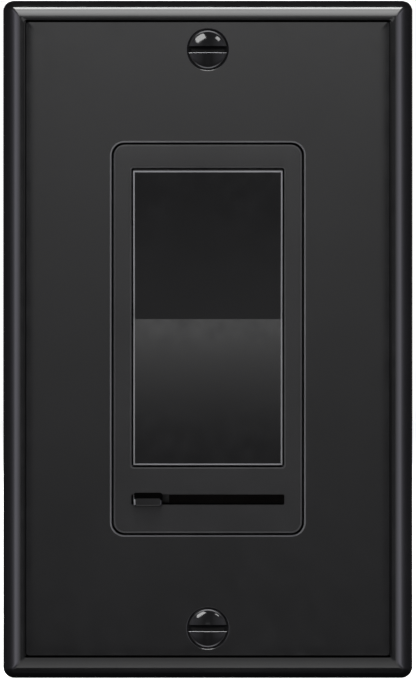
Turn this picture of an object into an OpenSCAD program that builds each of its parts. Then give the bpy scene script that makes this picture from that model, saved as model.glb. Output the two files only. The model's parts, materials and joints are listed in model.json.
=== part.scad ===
// Rocker wall switch with a slide dimmer, behind a bordered wall plate.
// X runs to the right and Z up. The wall is the plane Y = 0 and the front faces -Y.
// The origin is midway between the two screws that fix the device to its wall box.

/* [Wall plate] */
// Width of the wall plate
plate_w = 70; // [68:0.5:76]
// Height of the wall plate
plate_h = 116; // [114:0.5:120]
// Depth of the wall plate from the wall to its face
plate_d = 6; // [6:0.1:6.3]
// Thickness of the plate's walls
plate_wall = 2.2; // [2:0.1:2.2]
// Width of the border, from the outer edge to the crease beside the face
border_w = 3.7; // [3.5:0.1:4.5]
// Radius of the border's rounded outer edge
roll_r = 3.2; // [2.8:0.1:3.3]
// Distance between the two plate screws
plate_screw_pitch = 98.66; // [96:0.02:98.8]

/* [Insert frame] */
// Width of the visible insert
insert_w = 32.1; // [32:0.1:33]
// Height of the visible insert
insert_h = 66.2; // [65.5:0.1:67]
// Gap between the insert and the plate's opening
insert_gap = 0.35; // [0.2:0.05:0.5]
// How far the insert stands proud of the plate's face
insert_proud = 0.4; // [0.2:0.1:0.6]

/* [Rocker] */
// Width of the rocker
rocker_w = 25.4; // [24.8:0.1:25.4]
// Radius of the rocker's end faces about its pivot
rocker_r = 25.6; // [25:0.02:25.6]
// Height of the rocker's pivot above the centre of the plate
rocker_z = 3.6; // [3.4:0.1:3.8]
// Tilt of the rocker to either side of level, in degrees
rocker_tilt = 3.2; // [2.4:0.1:3.4]

/* [Dimmer slider] */
// Length of the slider's slot
slot_l = 26; // [25.5:0.5:26.5]
// Height of the slider's slot
slot_h = 1.7; // [1.4:0.1:2]
// Travel of the slider
slider_travel = 20.4; // [18:0.2:20.4]
// Width of the slider's knob
knob_w = 4.9; // [4.6:0.1:5.2]
// Height of the slider's knob
knob_h = 2.4; // [2.1:0.1:3]

/* [Box mounting] */
// Distance between the two screws that fix the device to its box
box_screw_pitch = 83.34; // [83:0.02:84]
// Depth of the rear housing behind the wall plane
housing_d = 28; // [27.6:0.1:32]

/* [Hidden] */
$fn = 64;
cut = 1; // how far a cutter runs past the face that it opens

// Colours
black_gloss = [0.09, 0.09, 0.10];
black_satin = [0.13, 0.13, 0.14];
zinc = [0.72, 0.73, 0.74];
aluminium = [0.80, 0.81, 0.83];
brass = [0.80, 0.64, 0.30];
silver = [0.85, 0.85, 0.87];
green_paint = [0.12, 0.45, 0.20];
board_green = [0.10, 0.32, 0.18];

// Wall plate
face_y = -plate_d;
border_y = face_y + 0.55;      // the border's flat top, a step below the face
roll_y = border_y + roll_r;    // where the rounded edge meets the plate's straight side
step_slope = 0.35;             // width of the sloping step between border and face
plate_corner_r = 1.9;
plate_inner_y = face_y + plate_wall;
opening_r = 2.15;
boss_r = 3.2;
plate_rib_z = [-40, -20, 0, 20, 40];
plate_rib_t = 1.2;

// Screws, all of them 6-32 or 8-32 machine screws but for the small ones
screw_6_r = 1.75;
tapped_6_r = 1.77;
screw_8_r = 2.0;
tapped_8_r = 2.02;
small_screw_r = 1.2;
thread_gap = 0.02;             // radial room between a screw and its tapped hole
frame_head_r = 1.9;            // countersunk heads that hold the front frame
countersink_r = 3.6;
oval_head_r = 3.45;
oval_dome = 0.55;
oval_rim_y = face_y + 0.15;    // the oval head's rim sits just under the face
oval_cone = 1.956;             // depth of the oval head's countersunk underside
screw_slot_w = 1.1;            // the driver slots of the large screws
pan_head_r = 3.3;

// Mounting strap, whose back lies on the wall plane
strap_t = 1.3;
strap_w = 46;
strap_h = 76;
ear_w = 44;
ear_h = 13;
ear_z = 46.7;
neck_w = 20;
score_x = 11.5;                // break-off scores across the plaster ears
window_w = 33.4;
window_h = 30;
slider_window = [30, 5];
box_slot = [7.5, 4];

// Front frame
frame_y = face_y - insert_proud;
frame_back_y = -strap_t;
flange = [42, 75];
flange_t = 1.5;
flange_y = frame_back_y - flange_t;
insert_r = 1.9;
fixing = [18.4, 30.2];         // frame screws, housing columns and board notches
well_half_w = 13;
well_gap = 0.22;               // between the rocker's end faces and the frame
bearing_w = insert_w / 2;
bearing_reach = 0.4;           // how far the bearing blocks reach behind the wall plane

// Rocker, drawn about its pivot with its level face towards -Y
pivot_y = -2.4;
trunnion_r = 1.4;
trunnion_bore_r = 1.46;
trunnion_l = 2;
ear_r = 2.2;
rocker_wall = 1.8;
rocker_back = 0.6;             // the shell stops this far in front of its pivot
crease_depth = 2.9;            // from the pivot forward to the crease
face_slope_mid = 5.7;          // slope of each half beside the crease, in degrees
face_slope_end = 0.7;          // slope of each half at its end, in degrees
face_steps = 10;
half_reach = 25.2;
boss_outer_r = 3.2;
plunger_bore_r = 2.1;
boss_end = 7;                  // the boss reaches this far behind the pivot
bore_bottom = -0.9;

// Plunger and its spring, on the same axis
plunger_r = 2;
plunger_tip_r = 1.5;
plunger_back = 3.5;
plunger_shoulder = 7.4;
plunger_tip = 9.85;            // centre of the plunger's round tip
spring_r = 1.55;
spring_wire_r = 0.2;
spring_turns = 6;

// Dimmer slider
slider_z = -27.4;
slider_x = -slider_travel / 2; // at rest the slider is at the left end
knob_front_y = frame_y - 1.5;
knob_back_y = frame_y - 0.1;
lever = [3, 0.9];              // the lever's blade, wide and high
lever_front_y = knob_back_y - 0.8;
lever_back_y = 11;
lever_fit = 0.02;
foot = [4.8, 3.4];              // the lever's foot, which hides behind the knob
foot_y = [-4.2, -2.6];
foot_cavity = [29.2, 6.4];
foot_cavity_y = -4.4;

// Slide potentiometer
pot = [30, 8];
pot_y = [8.4, 15.4];
pot_wall = 0.7;
track_y = [14.2, 15];
pot_pin_x = [-12.5, 0, 12.5];
carriage = [7, 5.6];
carriage_y = [9.3, 11.6];

// Rear housing
housing = [43, 68];
housing_wall = 1.8;
housing_chamfer = 1.2;
panel = [28, 40];              // the blank recessed panel on the back
panel_depth = 0.4;             // also the depth of the grooves in the end walls
column_r = 3;
bay_z = 13.5;                  // height of the terminal bays above and below the centre
bay_half = 5;
bay_y = [2, 13];
bay_rib = 1.2;
terminal_x = 16;               // inner face of the terminal plates
metal_t = 0.8;                 // thickness of the stamped conductors
terminal_y = 7.5;
clamp_x = 18;
clamp_t = 1.2;
terminal_head_x = clamp_x + clamp_t;
ground_z = -22.5;
ground_y = 4.6;
wing_x = 22;                   // inner face of the ground wing

// Contact system
arm_y = 9.45;
arm_tilt = 2.5 * rocker_tilt;
arm = [3.4, 0.8, 16];
contact_reach = 6;
contact_r = 1.4;
contact_dome_r = 2;
contact_t = 0.8;
stub_r = 0.6;
stub_bore_r = 0.66;
rivet_r = 0.6;
rivet_hole_r = 0.62;
fixed_face_y = 11.53;
stamping_y = [fixed_face_y + contact_t, fixed_face_y + contact_t + metal_t];
block_y = [9.4, 15.4];
block_half = [10, 11.5];
recess_half = [5, 9.6];
upright_x = [2.4, 3.2];
leg_hole_r = 0.8;
peg_r = 1;
peg = [8, 9.5];

// Circuit board and the parts behind it
board = [39, 63];
board_y = [15.4, 17];
notch_r = 3.3;
lead_r = 0.35;
lead_hole_r = 0.45;
lead_end_y = 15.45;
triac_x = [-7.5, 8];
triac_z = [-23.2, -13.2];
triac_lead_x = 12.5;
triac_pitch = 2.54;
triac_mid_z = (triac_z[0] + triac_z[1]) / 2;
triac_hole_x = -4.9;
pad_t = 0.3;
choke_at = [-9, 18];
choke_turns = 17;
choke_step = 18;               // angle from one turn to the next
choke_mid_r = 6;
film_cap_at = [9.5, 22];
timing_cap_at = [-8, -19];
diac_at = [5, -9];
fuse_at = [9.5, 1.5];
varistor_at = [10, 9.5];
resistor_z = [2, -4, -10];
resistor_x = -9;
// Where the choke's two end turns lie, so its leads go straight down from them
function choke_lead(side) = choke_mid_r * [side * sin(2 * choke_step), -cos(2 * choke_step)];
// Holes for component leads: choke, film capacitor, timing capacitor, diac, fuse, varistor
lead_holes = concat(
  [for (s = [-1, 1]) choke_at + choke_lead(s)],
  [for (s = [-1, 1]) film_cap_at + [s * 6, 0]],
  [for (s = [-1, 1]) timing_cap_at + [s * 2.5, 0]],
  [for (s = [-1, 1]) diac_at + [s * 4, 0]],
  [for (s = [-1, 1]) fuse_at + [s * 7, 0]],
  [for (s = [-1, 1]) varistor_at + [s * 2.5, 0]],
  [for (z = resistor_z, s = [-1, 1]) [resistor_x + s * 5.5, z]],
  [for (i = [-1 : 1]) [triac_lead_x, triac_mid_z + i * triac_pitch]],
  [for (x = pot_pin_x) [x, slider_z]]
);

// Shared shapes -------------------------------------------------------------

// A rectangle with round corners, centred
module round_rect(size, r) {
  square([size[0] - 2 * r, size[1]], center = true);
  square([size[0], size[1] - 2 * r], center = true);
  for (sx = [-1, 1], sz = [-1, 1])
    translate([sx * (size[0] / 2 - r), sz * (size[1] / 2 - r)]) circle(r);
}

// Thickens a shape drawn in X and Z from depth y0 back to depth y1
module slab(y0, y1) translate([0, y1, 0]) rotate([90, 0, 0]) linear_extrude(y1 - y0) children();

// Thickens a shape drawn in Y and Z from x0 to x1
module along_x(x0, x1) translate([x0, 0, 0]) rotate([90, 0, 90]) linear_extrude(x1 - x0) children();

// A box between two corners
module block(low, high) translate(low) cube(high - low);

// Round bars along each axis
module rod_y(r, y0, y1) translate([0, y1, 0]) rotate([90, 0, 0]) cylinder(r = r, h = y1 - y0);
module rod_x(r, x0, x1) translate([x0, 0, 0]) rotate([0, 90, 0]) cylinder(r = r, h = x1 - x0);

// The threaded length of a screw, point down, with a chamfered tip
module shank(r, length) rotate_extrude()
  polygon([[0, -length], [r - 0.4, -length], [r, -length + 0.4], [r, 0], [0, 0]]);

// A countersunk cone that widens from the shank to the head
module cone(shank_radius, head_radius, depth) rotate_extrude()
  polygon([[0, -depth], [shank_radius, -depth], [head_radius, 0], [0, 0]]);

// A shallow dome on a round base
module dome(r, h) {
  ball_r = (r * r + h * h) / (2 * h);
  rotate_extrude() intersection() {
    translate([0, h - ball_r]) circle(ball_r, $fn = 360);
    square([r, h]);
  }
}

// A straight slot across the top of a screw head
module screw_slot(r, top, width, depth) translate([-r - cut, -width / 2, top - depth])
  cube([2 * r + 2 * cut, width, depth + cut]);

// Turns a screw that points down so that it points into the wall
module into_wall() rotate([90, 0, 0]) children();

// A pan head screw, point down, with its bearing face at zero
module pan_screw(r, head_r, head_h, length, slot_w) difference() {
  union() {
    cylinder(r = head_r, h = head_h * 0.5);
    translate([0, 0, head_h * 0.5]) dome(head_r, head_h * 0.5);
    shank(r, length);
  }
  screw_slot(head_r, head_h, slot_w, head_h * 0.6);
}

// Places a shape drawn about the rocker's pivot
module at_rocker() translate([0, pivot_y, rocker_z]) rotate([rocker_tilt, 0, 0]) children();

// Places a shape drawn about the contact arm's pivot
module at_arm() translate([0, arm_y, rocker_z]) rotate([-arm_tilt, 0, 0]) children();

// Both halves of a mirrored pair, above and below the centre
module above_and_below(z) for (s = [-1, 1]) translate([0, 0, s * z]) children();

// Wall plate ----------------------------------------------------------------

// The plate's outline across one direction: straight side, rounded border, step and face
module border_profile(span) {
  side = span / 2;
  intersection() {
    union() {
      translate([-side, roll_y]) square([span, -roll_y]);
      translate([roll_r - side, border_y]) square([span - 2 * roll_r, -border_y]);
      for (s = [-1, 1]) translate([s * (side - roll_r), roll_y]) circle(roll_r);
      polygon([[border_w - side, border_y + 0.2], [border_w - side + step_slope, face_y],
        [side - border_w - step_slope, face_y], [side - border_w, border_y + 0.2]]);
    }
    translate([-side, face_y]) square([span, plate_d]);
  }
}

module wall_plate() color(black_gloss) difference() {
  union() {
    difference() {
      intersection() {
        linear_extrude(plate_h + 2, center = true) border_profile(plate_w);
        rotate([0, 90, 0]) linear_extrude(plate_w + 2, center = true) border_profile(plate_h);
        slab(face_y - cut, cut) round_rect([plate_w, plate_h], plate_corner_r);
      }
      slab(plate_inner_y, cut)
        round_rect([plate_w - 2 * plate_wall, plate_h - 2 * plate_wall], 1);
    }
    above_and_below(plate_screw_pitch / 2) rod_y(boss_r, plate_inner_y - 0.2, -strap_t - 0.2);
    slab(plate_inner_y - 0.2, flange_y - 0.2) round_rect([insert_w + 3.6, insert_h + 3.6], 3);
    for (s = [-1, 1], z = plate_rib_z) translate([s * (strap_w / 2 + plate_w / 2 - 1) / 2, 0, z])
      slab(plate_inner_y - 0.2, -1)
        square([plate_w / 2 - 1 - strap_w / 2 - 1, plate_rib_t], center = true);
  }
  slab(face_y - cut, cut)
    round_rect([insert_w + 2 * insert_gap, insert_h + 2 * insert_gap], opening_r);
  above_and_below(plate_screw_pitch / 2) {
    rod_y(2, face_y, cut);
    translate([0, face_y, 0]) into_wall() cone(2, countersink_r, 1.84);
  }
}

module plate_screws() color(black_gloss) above_and_below(plate_screw_pitch / 2)
  translate([0, oval_rim_y, 0]) into_wall() difference() {
    union() {
      dome(oval_head_r, oval_dome);
      cone(screw_6_r, oval_head_r, oval_cone);
      translate([0, 0, -oval_cone]) shank(screw_6_r, 9.9);
    }
    screw_slot(oval_head_r, oval_dome, screw_slot_w, 1.3);
  }

// Front frame ---------------------------------------------------------------

module front_frame() color(black_satin) difference() {
  union() {
    slab(frame_y, flange_y + 0.1) round_rect([insert_w, insert_h], insert_r);
    slab(flange_y, frame_back_y) round_rect(flange, 2.5);
    for (s = [-1, 1]) translate([s * (well_half_w + bearing_w) / 2, 0, rocker_z])
      slab(frame_back_y - 0.1, bearing_reach) square([bearing_w - well_half_w, 6], center = true);
  }
  along_x(-well_half_w, well_half_w) intersection() {
    translate([pivot_y, rocker_z]) circle(rocker_r + well_gap, $fn = 180);
    translate([frame_y - cut, -40]) square([-frame_y + cut + bearing_reach + cut, 80]);
  }
  translate([0, pivot_y, rocker_z])
    rod_x(trunnion_bore_r, -well_half_w - trunnion_l, well_half_w + trunnion_l);
  translate([0, 0, slider_z]) {
    slab(frame_y - cut, 0) square([slot_l, slot_h], center = true);
    slab(foot_cavity_y, 0) round_rect(foot_cavity, 0.8);
  }
  for (sx = [-1, 1], sz = [-1, 1]) translate([sx * fixing[0], 0, sz * fixing[1]]) {
    rod_y(small_screw_r + 0.1, flange_y - cut, 0);
    translate([0, flange_y, 0]) into_wall() cone(small_screw_r + 0.1, frame_head_r + 0.2, 0.9);
  }
}

module frame_screws() color(zinc)
  for (sx = [-1, 1], sz = [-1, 1])
    translate([sx * fixing[0], flange_y + 0.1, sz * fixing[1]]) into_wall() difference() {
      union() {
        cone(small_screw_r, frame_head_r, 0.8);
        shank(small_screw_r, 11.5);
      }
      for (turn = [0, 90]) rotate(turn) translate([-1.2, -0.25, -0.6]) cube([2.4, 0.5, 0.6 + cut]);
    }

// Rocker --------------------------------------------------------------------

// Distance from the pivot forward to the rocker's face, at a height above or below the pivot
function face_depth(z) = crease_depth + tan(face_slope_mid) * abs(z)
  - (tan(face_slope_mid) - tan(face_slope_end)) * z * z / (2 * half_reach);

// The rocker seen from the side, drawn in Y and Z about its pivot, set in by a wall
module rocker_side(inset, back) intersection() {
  polygon(concat(
    [for (i = [-face_steps : face_steps]) let (z = i * (half_reach + 1) / face_steps)
      [inset - face_depth(z), z]],
    [[back, half_reach + 1], [back, -half_reach - 1]]
  ));
  circle(rocker_r - inset, $fn = 180);
}

module rocker() color(black_satin) at_rocker() difference() {
  union() {
    difference() {
      along_x(-rocker_w / 2, rocker_w / 2) rocker_side(0, -rocker_back);
      along_x(rocker_wall - rocker_w / 2, rocker_w / 2 - rocker_wall)
        rocker_side(rocker_wall, 0);
    }
    for (s = [-1, 1]) {
      translate([s * (rocker_w / 2 - rocker_wall / 2), 0, 0])
        along_x(-rocker_wall / 2, rocker_wall / 2) circle(ear_r);
      translate([s * (rocker_w / 2 + trunnion_l / 2 - 0.05), 0, 0])
        rod_x(trunnion_r, -trunnion_l / 2 - 0.05, trunnion_l / 2 + 0.05);
    }
    rod_y(boss_outer_r, rocker_wall - crease_depth - 0.3, boss_end);
  }
  rod_y(plunger_bore_r, bore_bottom, boss_end + cut);
}

module rocker_plunger() color([0.9, 0.9, 0.86]) at_rocker() {
  rod_y(plunger_r, plunger_back, plunger_shoulder);
  rod_y(plunger_tip_r, plunger_shoulder - 0.1, plunger_tip);
  translate([0, plunger_tip, 0]) sphere(plunger_tip_r);
}

// A closed coil of round wire along Z, standing on zero
module coil_spring(mean_r, wire_r, length, turns) {
  sides = 8;
  steps = 20 * turns;
  points = [for (i = [0 : steps], j = [0 : sides - 1])
    let (a = 360 * turns * i / steps, b = 360 * j / sides, out = mean_r + wire_r * cos(b))
      [out * cos(a), out * sin(a),
       wire_r + (length - 2 * wire_r) * i / steps + wire_r * sin(b)]];
  skin = [for (i = [0 : steps - 1], j = [0 : sides - 1]) let (k = (j + 1) % sides)
    [i * sides + j, (i + 1) * sides + j, (i + 1) * sides + k, i * sides + k]];
  caps = [[for (j = [0 : sides - 1]) j], [for (j = [sides - 1 : -1 : 0]) steps * sides + j]];
  polyhedron(points, concat(skin, caps));
}

module plunger_spring() color(silver) at_rocker() translate([0, bore_bottom + 0.05, 0])
  rotate([-90, 0, 0])
    coil_spring(spring_r, spring_wire_r, plunger_back - bore_bottom - 0.1, spring_turns);

// Dimmer slider -------------------------------------------------------------

module at_slider() translate([slider_x, 0, slider_z]) children();

module slider_knob() color(black_gloss) at_slider() difference() {
  slab(knob_front_y, knob_back_y) round_rect([knob_w, knob_h], 0.5);
  slab(lever_front_y - lever_fit, knob_back_y + cut)
    square([lever[0] + 2 * lever_fit, lever[1] + 2 * lever_fit], center = true);
}

module slide_lever() color(black_satin) at_slider() {
  slab(lever_front_y, lever_back_y) square(lever, center = true);
  slab(foot_y[0], foot_y[1]) round_rect(foot, 0.6);
}

module slide_wiper() color(black_satin) at_slider() {
  difference() {
    slab(carriage_y[0], carriage_y[1]) round_rect(carriage, 0.5);
    slab(carriage_y[0] - cut, lever_back_y + lever_fit)
      square([lever[0] + 2 * lever_fit, lever[1] + 2 * lever_fit], center = true);
  }
  for (z = [-1.6, 1.6]) translate([0, 0, z - 0.5]) linear_extrude(1) polygon([
    [-3, carriage_y[1] - 0.1], [-2.2, carriage_y[1] - 0.1], [1.6, 13.6], [2.8, 12.6],
    [3.1, 12.8], [1.7, 14], [1.4, 14], [-3, carriage_y[1] + 0.3]
  ]);
}

module slide_pot_case() color(black_satin) translate([0, 0, slider_z]) difference() {
  slab(pot_y[0], pot_y[1]) round_rect(pot, 0.6);
  slab(pot_y[0] + pot_wall, pot_y[1] + cut)
    square([pot[0] - 2 * pot_wall, pot[1] - 2 * pot_wall], center = true);
  slab(pot_y[0] - cut, pot_y[1]) square([27, 2], center = true);
}

module slide_pot_track() color([0.35, 0.27, 0.18]) translate([0, 0, slider_z]) {
  slab(track_y[0], track_y[1]) square([28.4, 6.4], center = true);
  for (z = [-1.6, 1.6]) translate([0, 0, z])
    slab(track_y[0] - 0.12, track_y[0] + 0.1) square([27, 1.6], center = true);
  for (x = pot_pin_x) translate([x, 0, 0]) rod_y(lead_r, track_y[1] - 0.1, board_y[1] + 0.8);
}

// Mounting strap ------------------------------------------------------------

module mounting_strap() color(aluminium) difference() {
  union() {
    slab(-strap_t, 0) difference() {
      union() {
        round_rect([strap_w, strap_h], 2);
        square([neck_w, 2 * ear_z], center = true);
        for (s = [-1, 1]) translate([0, s * ear_z]) round_rect([ear_w, ear_h], 4);
      }
      translate([0, rocker_z]) round_rect([window_w, window_h], 1);
      translate([0, slider_z]) round_rect(slider_window, 1);
      for (s = [-1, 1]) translate([0, s * box_screw_pitch / 2]) {
        square([box_slot[0] - box_slot[1], box_slot[1]], center = true);
        for (t = [-1, 1]) translate([t * (box_slot[0] - box_slot[1]) / 2, 0])
          circle(box_slot[1] / 2);
      }
    }
    block([-wing_x - strap_t, -strap_t, ground_z - 5], [-wing_x, 9.6, ground_z + 5]);
  }
  for (sx = [-1, 1], sz = [-1, 1]) translate([sx * score_x, 0, sz * ear_z])
    slab(-strap_t - cut, 0.35 - strap_t) square([0.5, ear_h + 1], center = true);
  above_and_below(plate_screw_pitch / 2) rod_y(tapped_6_r, -strap_t - cut, cut);
  for (sx = [-1, 1], sz = [-1, 1]) translate([sx * fixing[0], 0, sz * fixing[1]])
    rod_y(small_screw_r + 0.15, -strap_t - cut, cut);
  translate([triac_hole_x, 0, triac_mid_z]) rod_y(1.42, -strap_t - cut, cut);
  translate([0, ground_y, ground_z]) rod_x(tapped_8_r, -wing_x - strap_t - cut, -wing_x + cut);
}

module box_screws() color(zinc) above_and_below(box_screw_pitch / 2) into_wall() difference() {
  union() {
    translate([0, 0, strap_t]) cylinder(r = pan_head_r, h = 0.9);
    translate([0, 0, strap_t + 0.9]) dome(pan_head_r, 0.9);
    translate([0, 0, -0.5]) cylinder(r = 1.5, h = strap_t + 0.6);
    translate([0, 0, -0.45]) shank(screw_6_r, 17.2);
  }
  screw_slot(pan_head_r, strap_t + 1.8, screw_slot_w, 1.1);
}

module screw_retainers() color([0.78, 0.66, 0.45]) above_and_below(box_screw_pitch / 2)
  slab(0, 0.4) difference() {
    square([7, 7], center = true);
    circle(1.53);
  }

module ground_screw() color(green_paint) translate([-wing_x - strap_t, ground_y, ground_z])
  rotate([0, -90, 0]) difference() {
    union() {
      cylinder(r = 3.6, h = 1.9, $fn = 6);
      shank(screw_8_r, 4.4);
    }
    screw_slot(3.6, 1.9, screw_slot_w, 1);
  }

// Rear housing --------------------------------------------------------------

// Places a terminal bay: side -1 is left and 1 is right, and up is 1 above and -1 below
module at_bay(side, up) translate([0, 0, up * bay_z]) mirror([side < 0 ? 1 : 0, 0, 0]) children();

bays = [[-1, 1], [1, 1], [1, -1]];

// The housing's outline across one direction, with its rear edges chamfered
module housing_profile(span) polygon([
  [-span / 2, 0], [span / 2, 0], [span / 2, housing_d - housing_chamfer],
  [span / 2 - housing_chamfer, housing_d], [housing_chamfer - span / 2, housing_d],
  [-span / 2, housing_d - housing_chamfer]
]);

module rear_housing() color(black_satin) difference() {
  union() {
    difference() {
      intersection() {
        linear_extrude(housing[1] + 2, center = true) housing_profile(housing[0]);
        rotate([0, 90, 0]) linear_extrude(housing[0] + 2, center = true)
          housing_profile(housing[1]);
        slab(0, housing_d) round_rect(housing, 2);
      }
      slab(-cut, housing_d - housing_wall)
        round_rect([housing[0] - 2 * housing_wall, housing[1] - 2 * housing_wall], 1);
    }
    for (sx = [-1, 1], sz = [-1, 1]) translate([sx * fixing[0], 0, sz * fixing[1]])
      rod_y(column_r, 0, housing_d - housing_wall + 0.1);
    for (sx = [-1, 1], sz = [-1, 1]) translate([sx * 19, 0, sz * 20])
      slab(board_y[1], housing_d - housing_wall + 0.1) square([1.6, 6], center = true);
    for (bay = bays) at_bay(bay[0], bay[1]) for (s = [-1, 1])
      translate([0, 0, s * (bay_half + bay_rib / 2)])
        block([terminal_x + metal_t + 0.05, 0, -bay_rib / 2],
          [housing[0] / 2 - housing_wall + 0.1, 14, bay_rib / 2]);
  }
  for (bay = bays) at_bay(bay[0], bay[1])
    block([housing[0] / 2 - housing_wall - 0.2, bay_y[0], -bay_half],
      [housing[0] / 2 + cut, bay_y[1], bay_half]);
  for (sx = [-1, 1], sz = [-1, 1]) translate([sx * fixing[0], 0, sz * fixing[1]])
    rod_y(small_screw_r + thread_gap, -cut, 11);
  slab(housing_d - panel_depth, housing_d + cut) round_rect(panel, 2);
  for (s = [-1, 1], x = [-12 : 6 : 12]) translate([x, 0, s * housing[1] / 2])
    slab(4, housing_d + cut) square([1.6, 2 * panel_depth], center = true);
  translate([0, ground_y, ground_z]) rod_x(2.6, -housing[0] / 2 - cut, 1 - housing[0] / 2 + housing_wall);
}

// Terminals -----------------------------------------------------------------

// A stamped plate on the inner side of a bay, with its tapped hole
module terminal_plate(low_z, high_z) difference() {
  block([terminal_x, 2.5, low_z], [terminal_x + metal_t, stamping_y[1], high_z]);
  translate([0, terminal_y, 0]) rod_x(tapped_8_r, terminal_x - cut, terminal_x + metal_t + cut);
}

// The strip from a fixed contact to its terminal, seen from the bay that it leads to
module traveler_strip(contact_z) difference() {
  block([-1.8, stamping_y[0], contact_z - 1.8],
    [terminal_x + metal_t / 2, stamping_y[1], contact_z + 1.8]);
  translate([0, 0, contact_z]) rod_y(rivet_hole_r, stamping_y[0] - cut, stamping_y[1] + cut);
}

module traveler_terminal_upper() color(brass) at_bay(-1, 1) {
  traveler_strip(rocker_z + contact_reach - bay_z);
  terminal_plate(rocker_z + contact_reach - bay_z - 1.8, 4.5);
}

module traveler_terminal_lower() color(brass) at_bay(1, -1) {
  traveler_strip(rocker_z - contact_reach + bay_z);
  terminal_plate(-4.5, rocker_z - contact_reach + bay_z + 1.8);
}

module common_terminal() color(brass) at_bay(1, 1) {
  terminal_plate(-4.5, 4.5);
  block([terminal_x, stamping_y[1] - 0.1, -0.6],
    [terminal_x + metal_t, board_y[1] + 0.6, 0.6]);
}

module terminal_screw() translate([terminal_head_x, terminal_y, 0]) rotate([0, 90, 0])
  pan_screw(screw_8_r, 3.8, 2.1, 5.2, screw_slot_w);

module traveler_screws() color(brass) {
  at_bay(-1, 1) terminal_screw();
  at_bay(1, -1) terminal_screw();
}

module common_screw() color([0.12, 0.12, 0.12]) at_bay(1, 1) terminal_screw();

module wire_clamps() color(zinc) for (bay = bays) at_bay(bay[0], bay[1]) difference() {
  block([clamp_x, terminal_y - 4, -4], [clamp_x + clamp_t, terminal_y + 4, 4]);
  translate([0, terminal_y, 0]) rod_x(screw_8_r + 0.1, clamp_x - cut, clamp_x + clamp_t + cut);
}

// Contacts ------------------------------------------------------------------

module contact_block() color(black_satin) translate([0, 0, rocker_z]) difference() {
  union() {
    slab(block_y[0], block_y[1]) square(2 * block_half, center = true);
    for (s = [-1, 1]) translate([s * peg[0], 0, s * peg[1]]) rod_y(peg_r, block_y[1] - 0.1, 18);
  }
  slab(block_y[0] - cut, stamping_y[1]) square(2 * recess_half, center = true);
  for (s = [-1, 1]) translate([s * block_half[0] / 2, 0, -s * contact_reach])
    slab(stamping_y[0] - 0.05, stamping_y[1] + 0.02) square([block_half[0] + cut, 3.7], center = true);
  for (s = [-1, 1]) translate([s * (upright_x[0] + upright_x[1]) / 2, 0, 0])
    rod_y(leg_hole_r, stamping_y[1] - cut, block_y[1] + cut);
}

module fulcrum_bracket() color(brass) translate([0, 0, rocker_z]) {
  slab(stamping_y[0], stamping_y[1]) square([2 * upright_x[1], 3], center = true);
  for (s = [-1, 1]) mirror([s < 0 ? 1 : 0, 0, 0]) {
    difference() {
      block([upright_x[0], 8.3, -1.5], [upright_x[1], stamping_y[1], 1.5]);
      translate([0, arm_y, 0]) rod_x(stub_bore_r, upright_x[0] - cut, upright_x[1] + cut);
    }
    block([upright_x[0], stamping_y[1] - 0.1, -0.6], [upright_x[1], board_y[1] + 0.6, 0.6]);
  }
}

module contact_arm() color([0.78, 0.47, 0.30]) at_arm() {
  difference() {
    slab(-arm[1] / 2, arm[1] / 2) round_rect([arm[0], arm[2]], 1);
    above_and_below(contact_reach) rod_y(rivet_hole_r, -cut, cut);
  }
  for (s = [-1, 1]) mirror([s < 0 ? 1 : 0, 0, 0])
    rod_x(stub_r, arm[0] / 2 - 0.1, upright_x[1] + 0.3);
}

module moving_contacts() color(silver) at_arm() above_and_below(contact_reach) {
  rod_y(0.95, -arm[1] / 2 - 0.3, -arm[1] / 2);
  rod_y(rivet_r, -arm[1] / 2 - 0.1, arm[1] / 2 + 0.1);
  rotate([-90, 0, 0]) translate([0, 0, arm[1] / 2]) {
    cylinder(r = contact_r, h = 0.2);
    translate([0, 0, 0.2]) dome(contact_r, contact_t - 0.2);
  }
}

module fixed_contacts() color(silver) translate([0, 0, rocker_z]) above_and_below(contact_reach) {
  rod_y(1.6, fixed_face_y, stamping_y[0]);
  rod_y(rivet_r, stamping_y[0] - 0.1, stamping_y[1]);
}

// Circuit board and its parts -----------------------------------------------

module circuit_board() color(board_green) difference() {
  slab(board_y[0], board_y[1]) round_rect(board, 1);
  for (sx = [-1, 1], sz = [-1, 1]) translate([sx * fixing[0], 0, sz * fixing[1]])
    rod_y(notch_r, 0, housing_d);
  for (at = lead_holes) translate([at[0], 0, at[1]]) rod_y(lead_hole_r, 0, housing_d);
  translate([0, 0, rocker_z]) for (s = [-1, 1]) {
    translate([s * (upright_x[0] + upright_x[1]) / 2, 0, 0]) rod_y(leg_hole_r, 0, housing_d);
    translate([s * peg[0], 0, s * peg[1]]) rod_y(peg_r + 0.05, 0, housing_d);
  }
  translate([terminal_x + metal_t / 2, 0, bay_z]) rod_y(leg_hole_r, 0, housing_d);
}

module triac() color([0.15, 0.15, 0.16]) {
  difference() {
    block([triac_x[0], pad_t, triac_z[0]], [triac_x[1], pad_t + 1.3, triac_z[1]]);
    translate([triac_hole_x, 0, triac_mid_z]) rod_y(1.8, 0, 3);
  }
  block([-1.5, pad_t + 1.2, triac_z[0]], [triac_x[1], 4.7, triac_z[1]]);
  for (i = [-1 : 1]) translate([0, 0, triac_mid_z + i * triac_pitch]) {
    block([triac_x[1] - 0.1, 2.6, -lead_r], [triac_lead_x + 0.25, 3.1, lead_r]);
    block([triac_lead_x - 0.25, 2.6, -lead_r], [triac_lead_x + 0.25, board_y[1] + 0.6, lead_r]);
  }
}

module triac_insulator() color([0.75, 0.75, 0.70])
  slab(0, pad_t) difference() {
    translate([(triac_x[0] + triac_x[1]) / 2, triac_mid_z])
      square([triac_x[1] - triac_x[0] + 1, triac_z[1] - triac_z[0] + 1], center = true);
    translate([triac_hole_x, triac_mid_z]) circle(1.6);
  }

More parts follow.
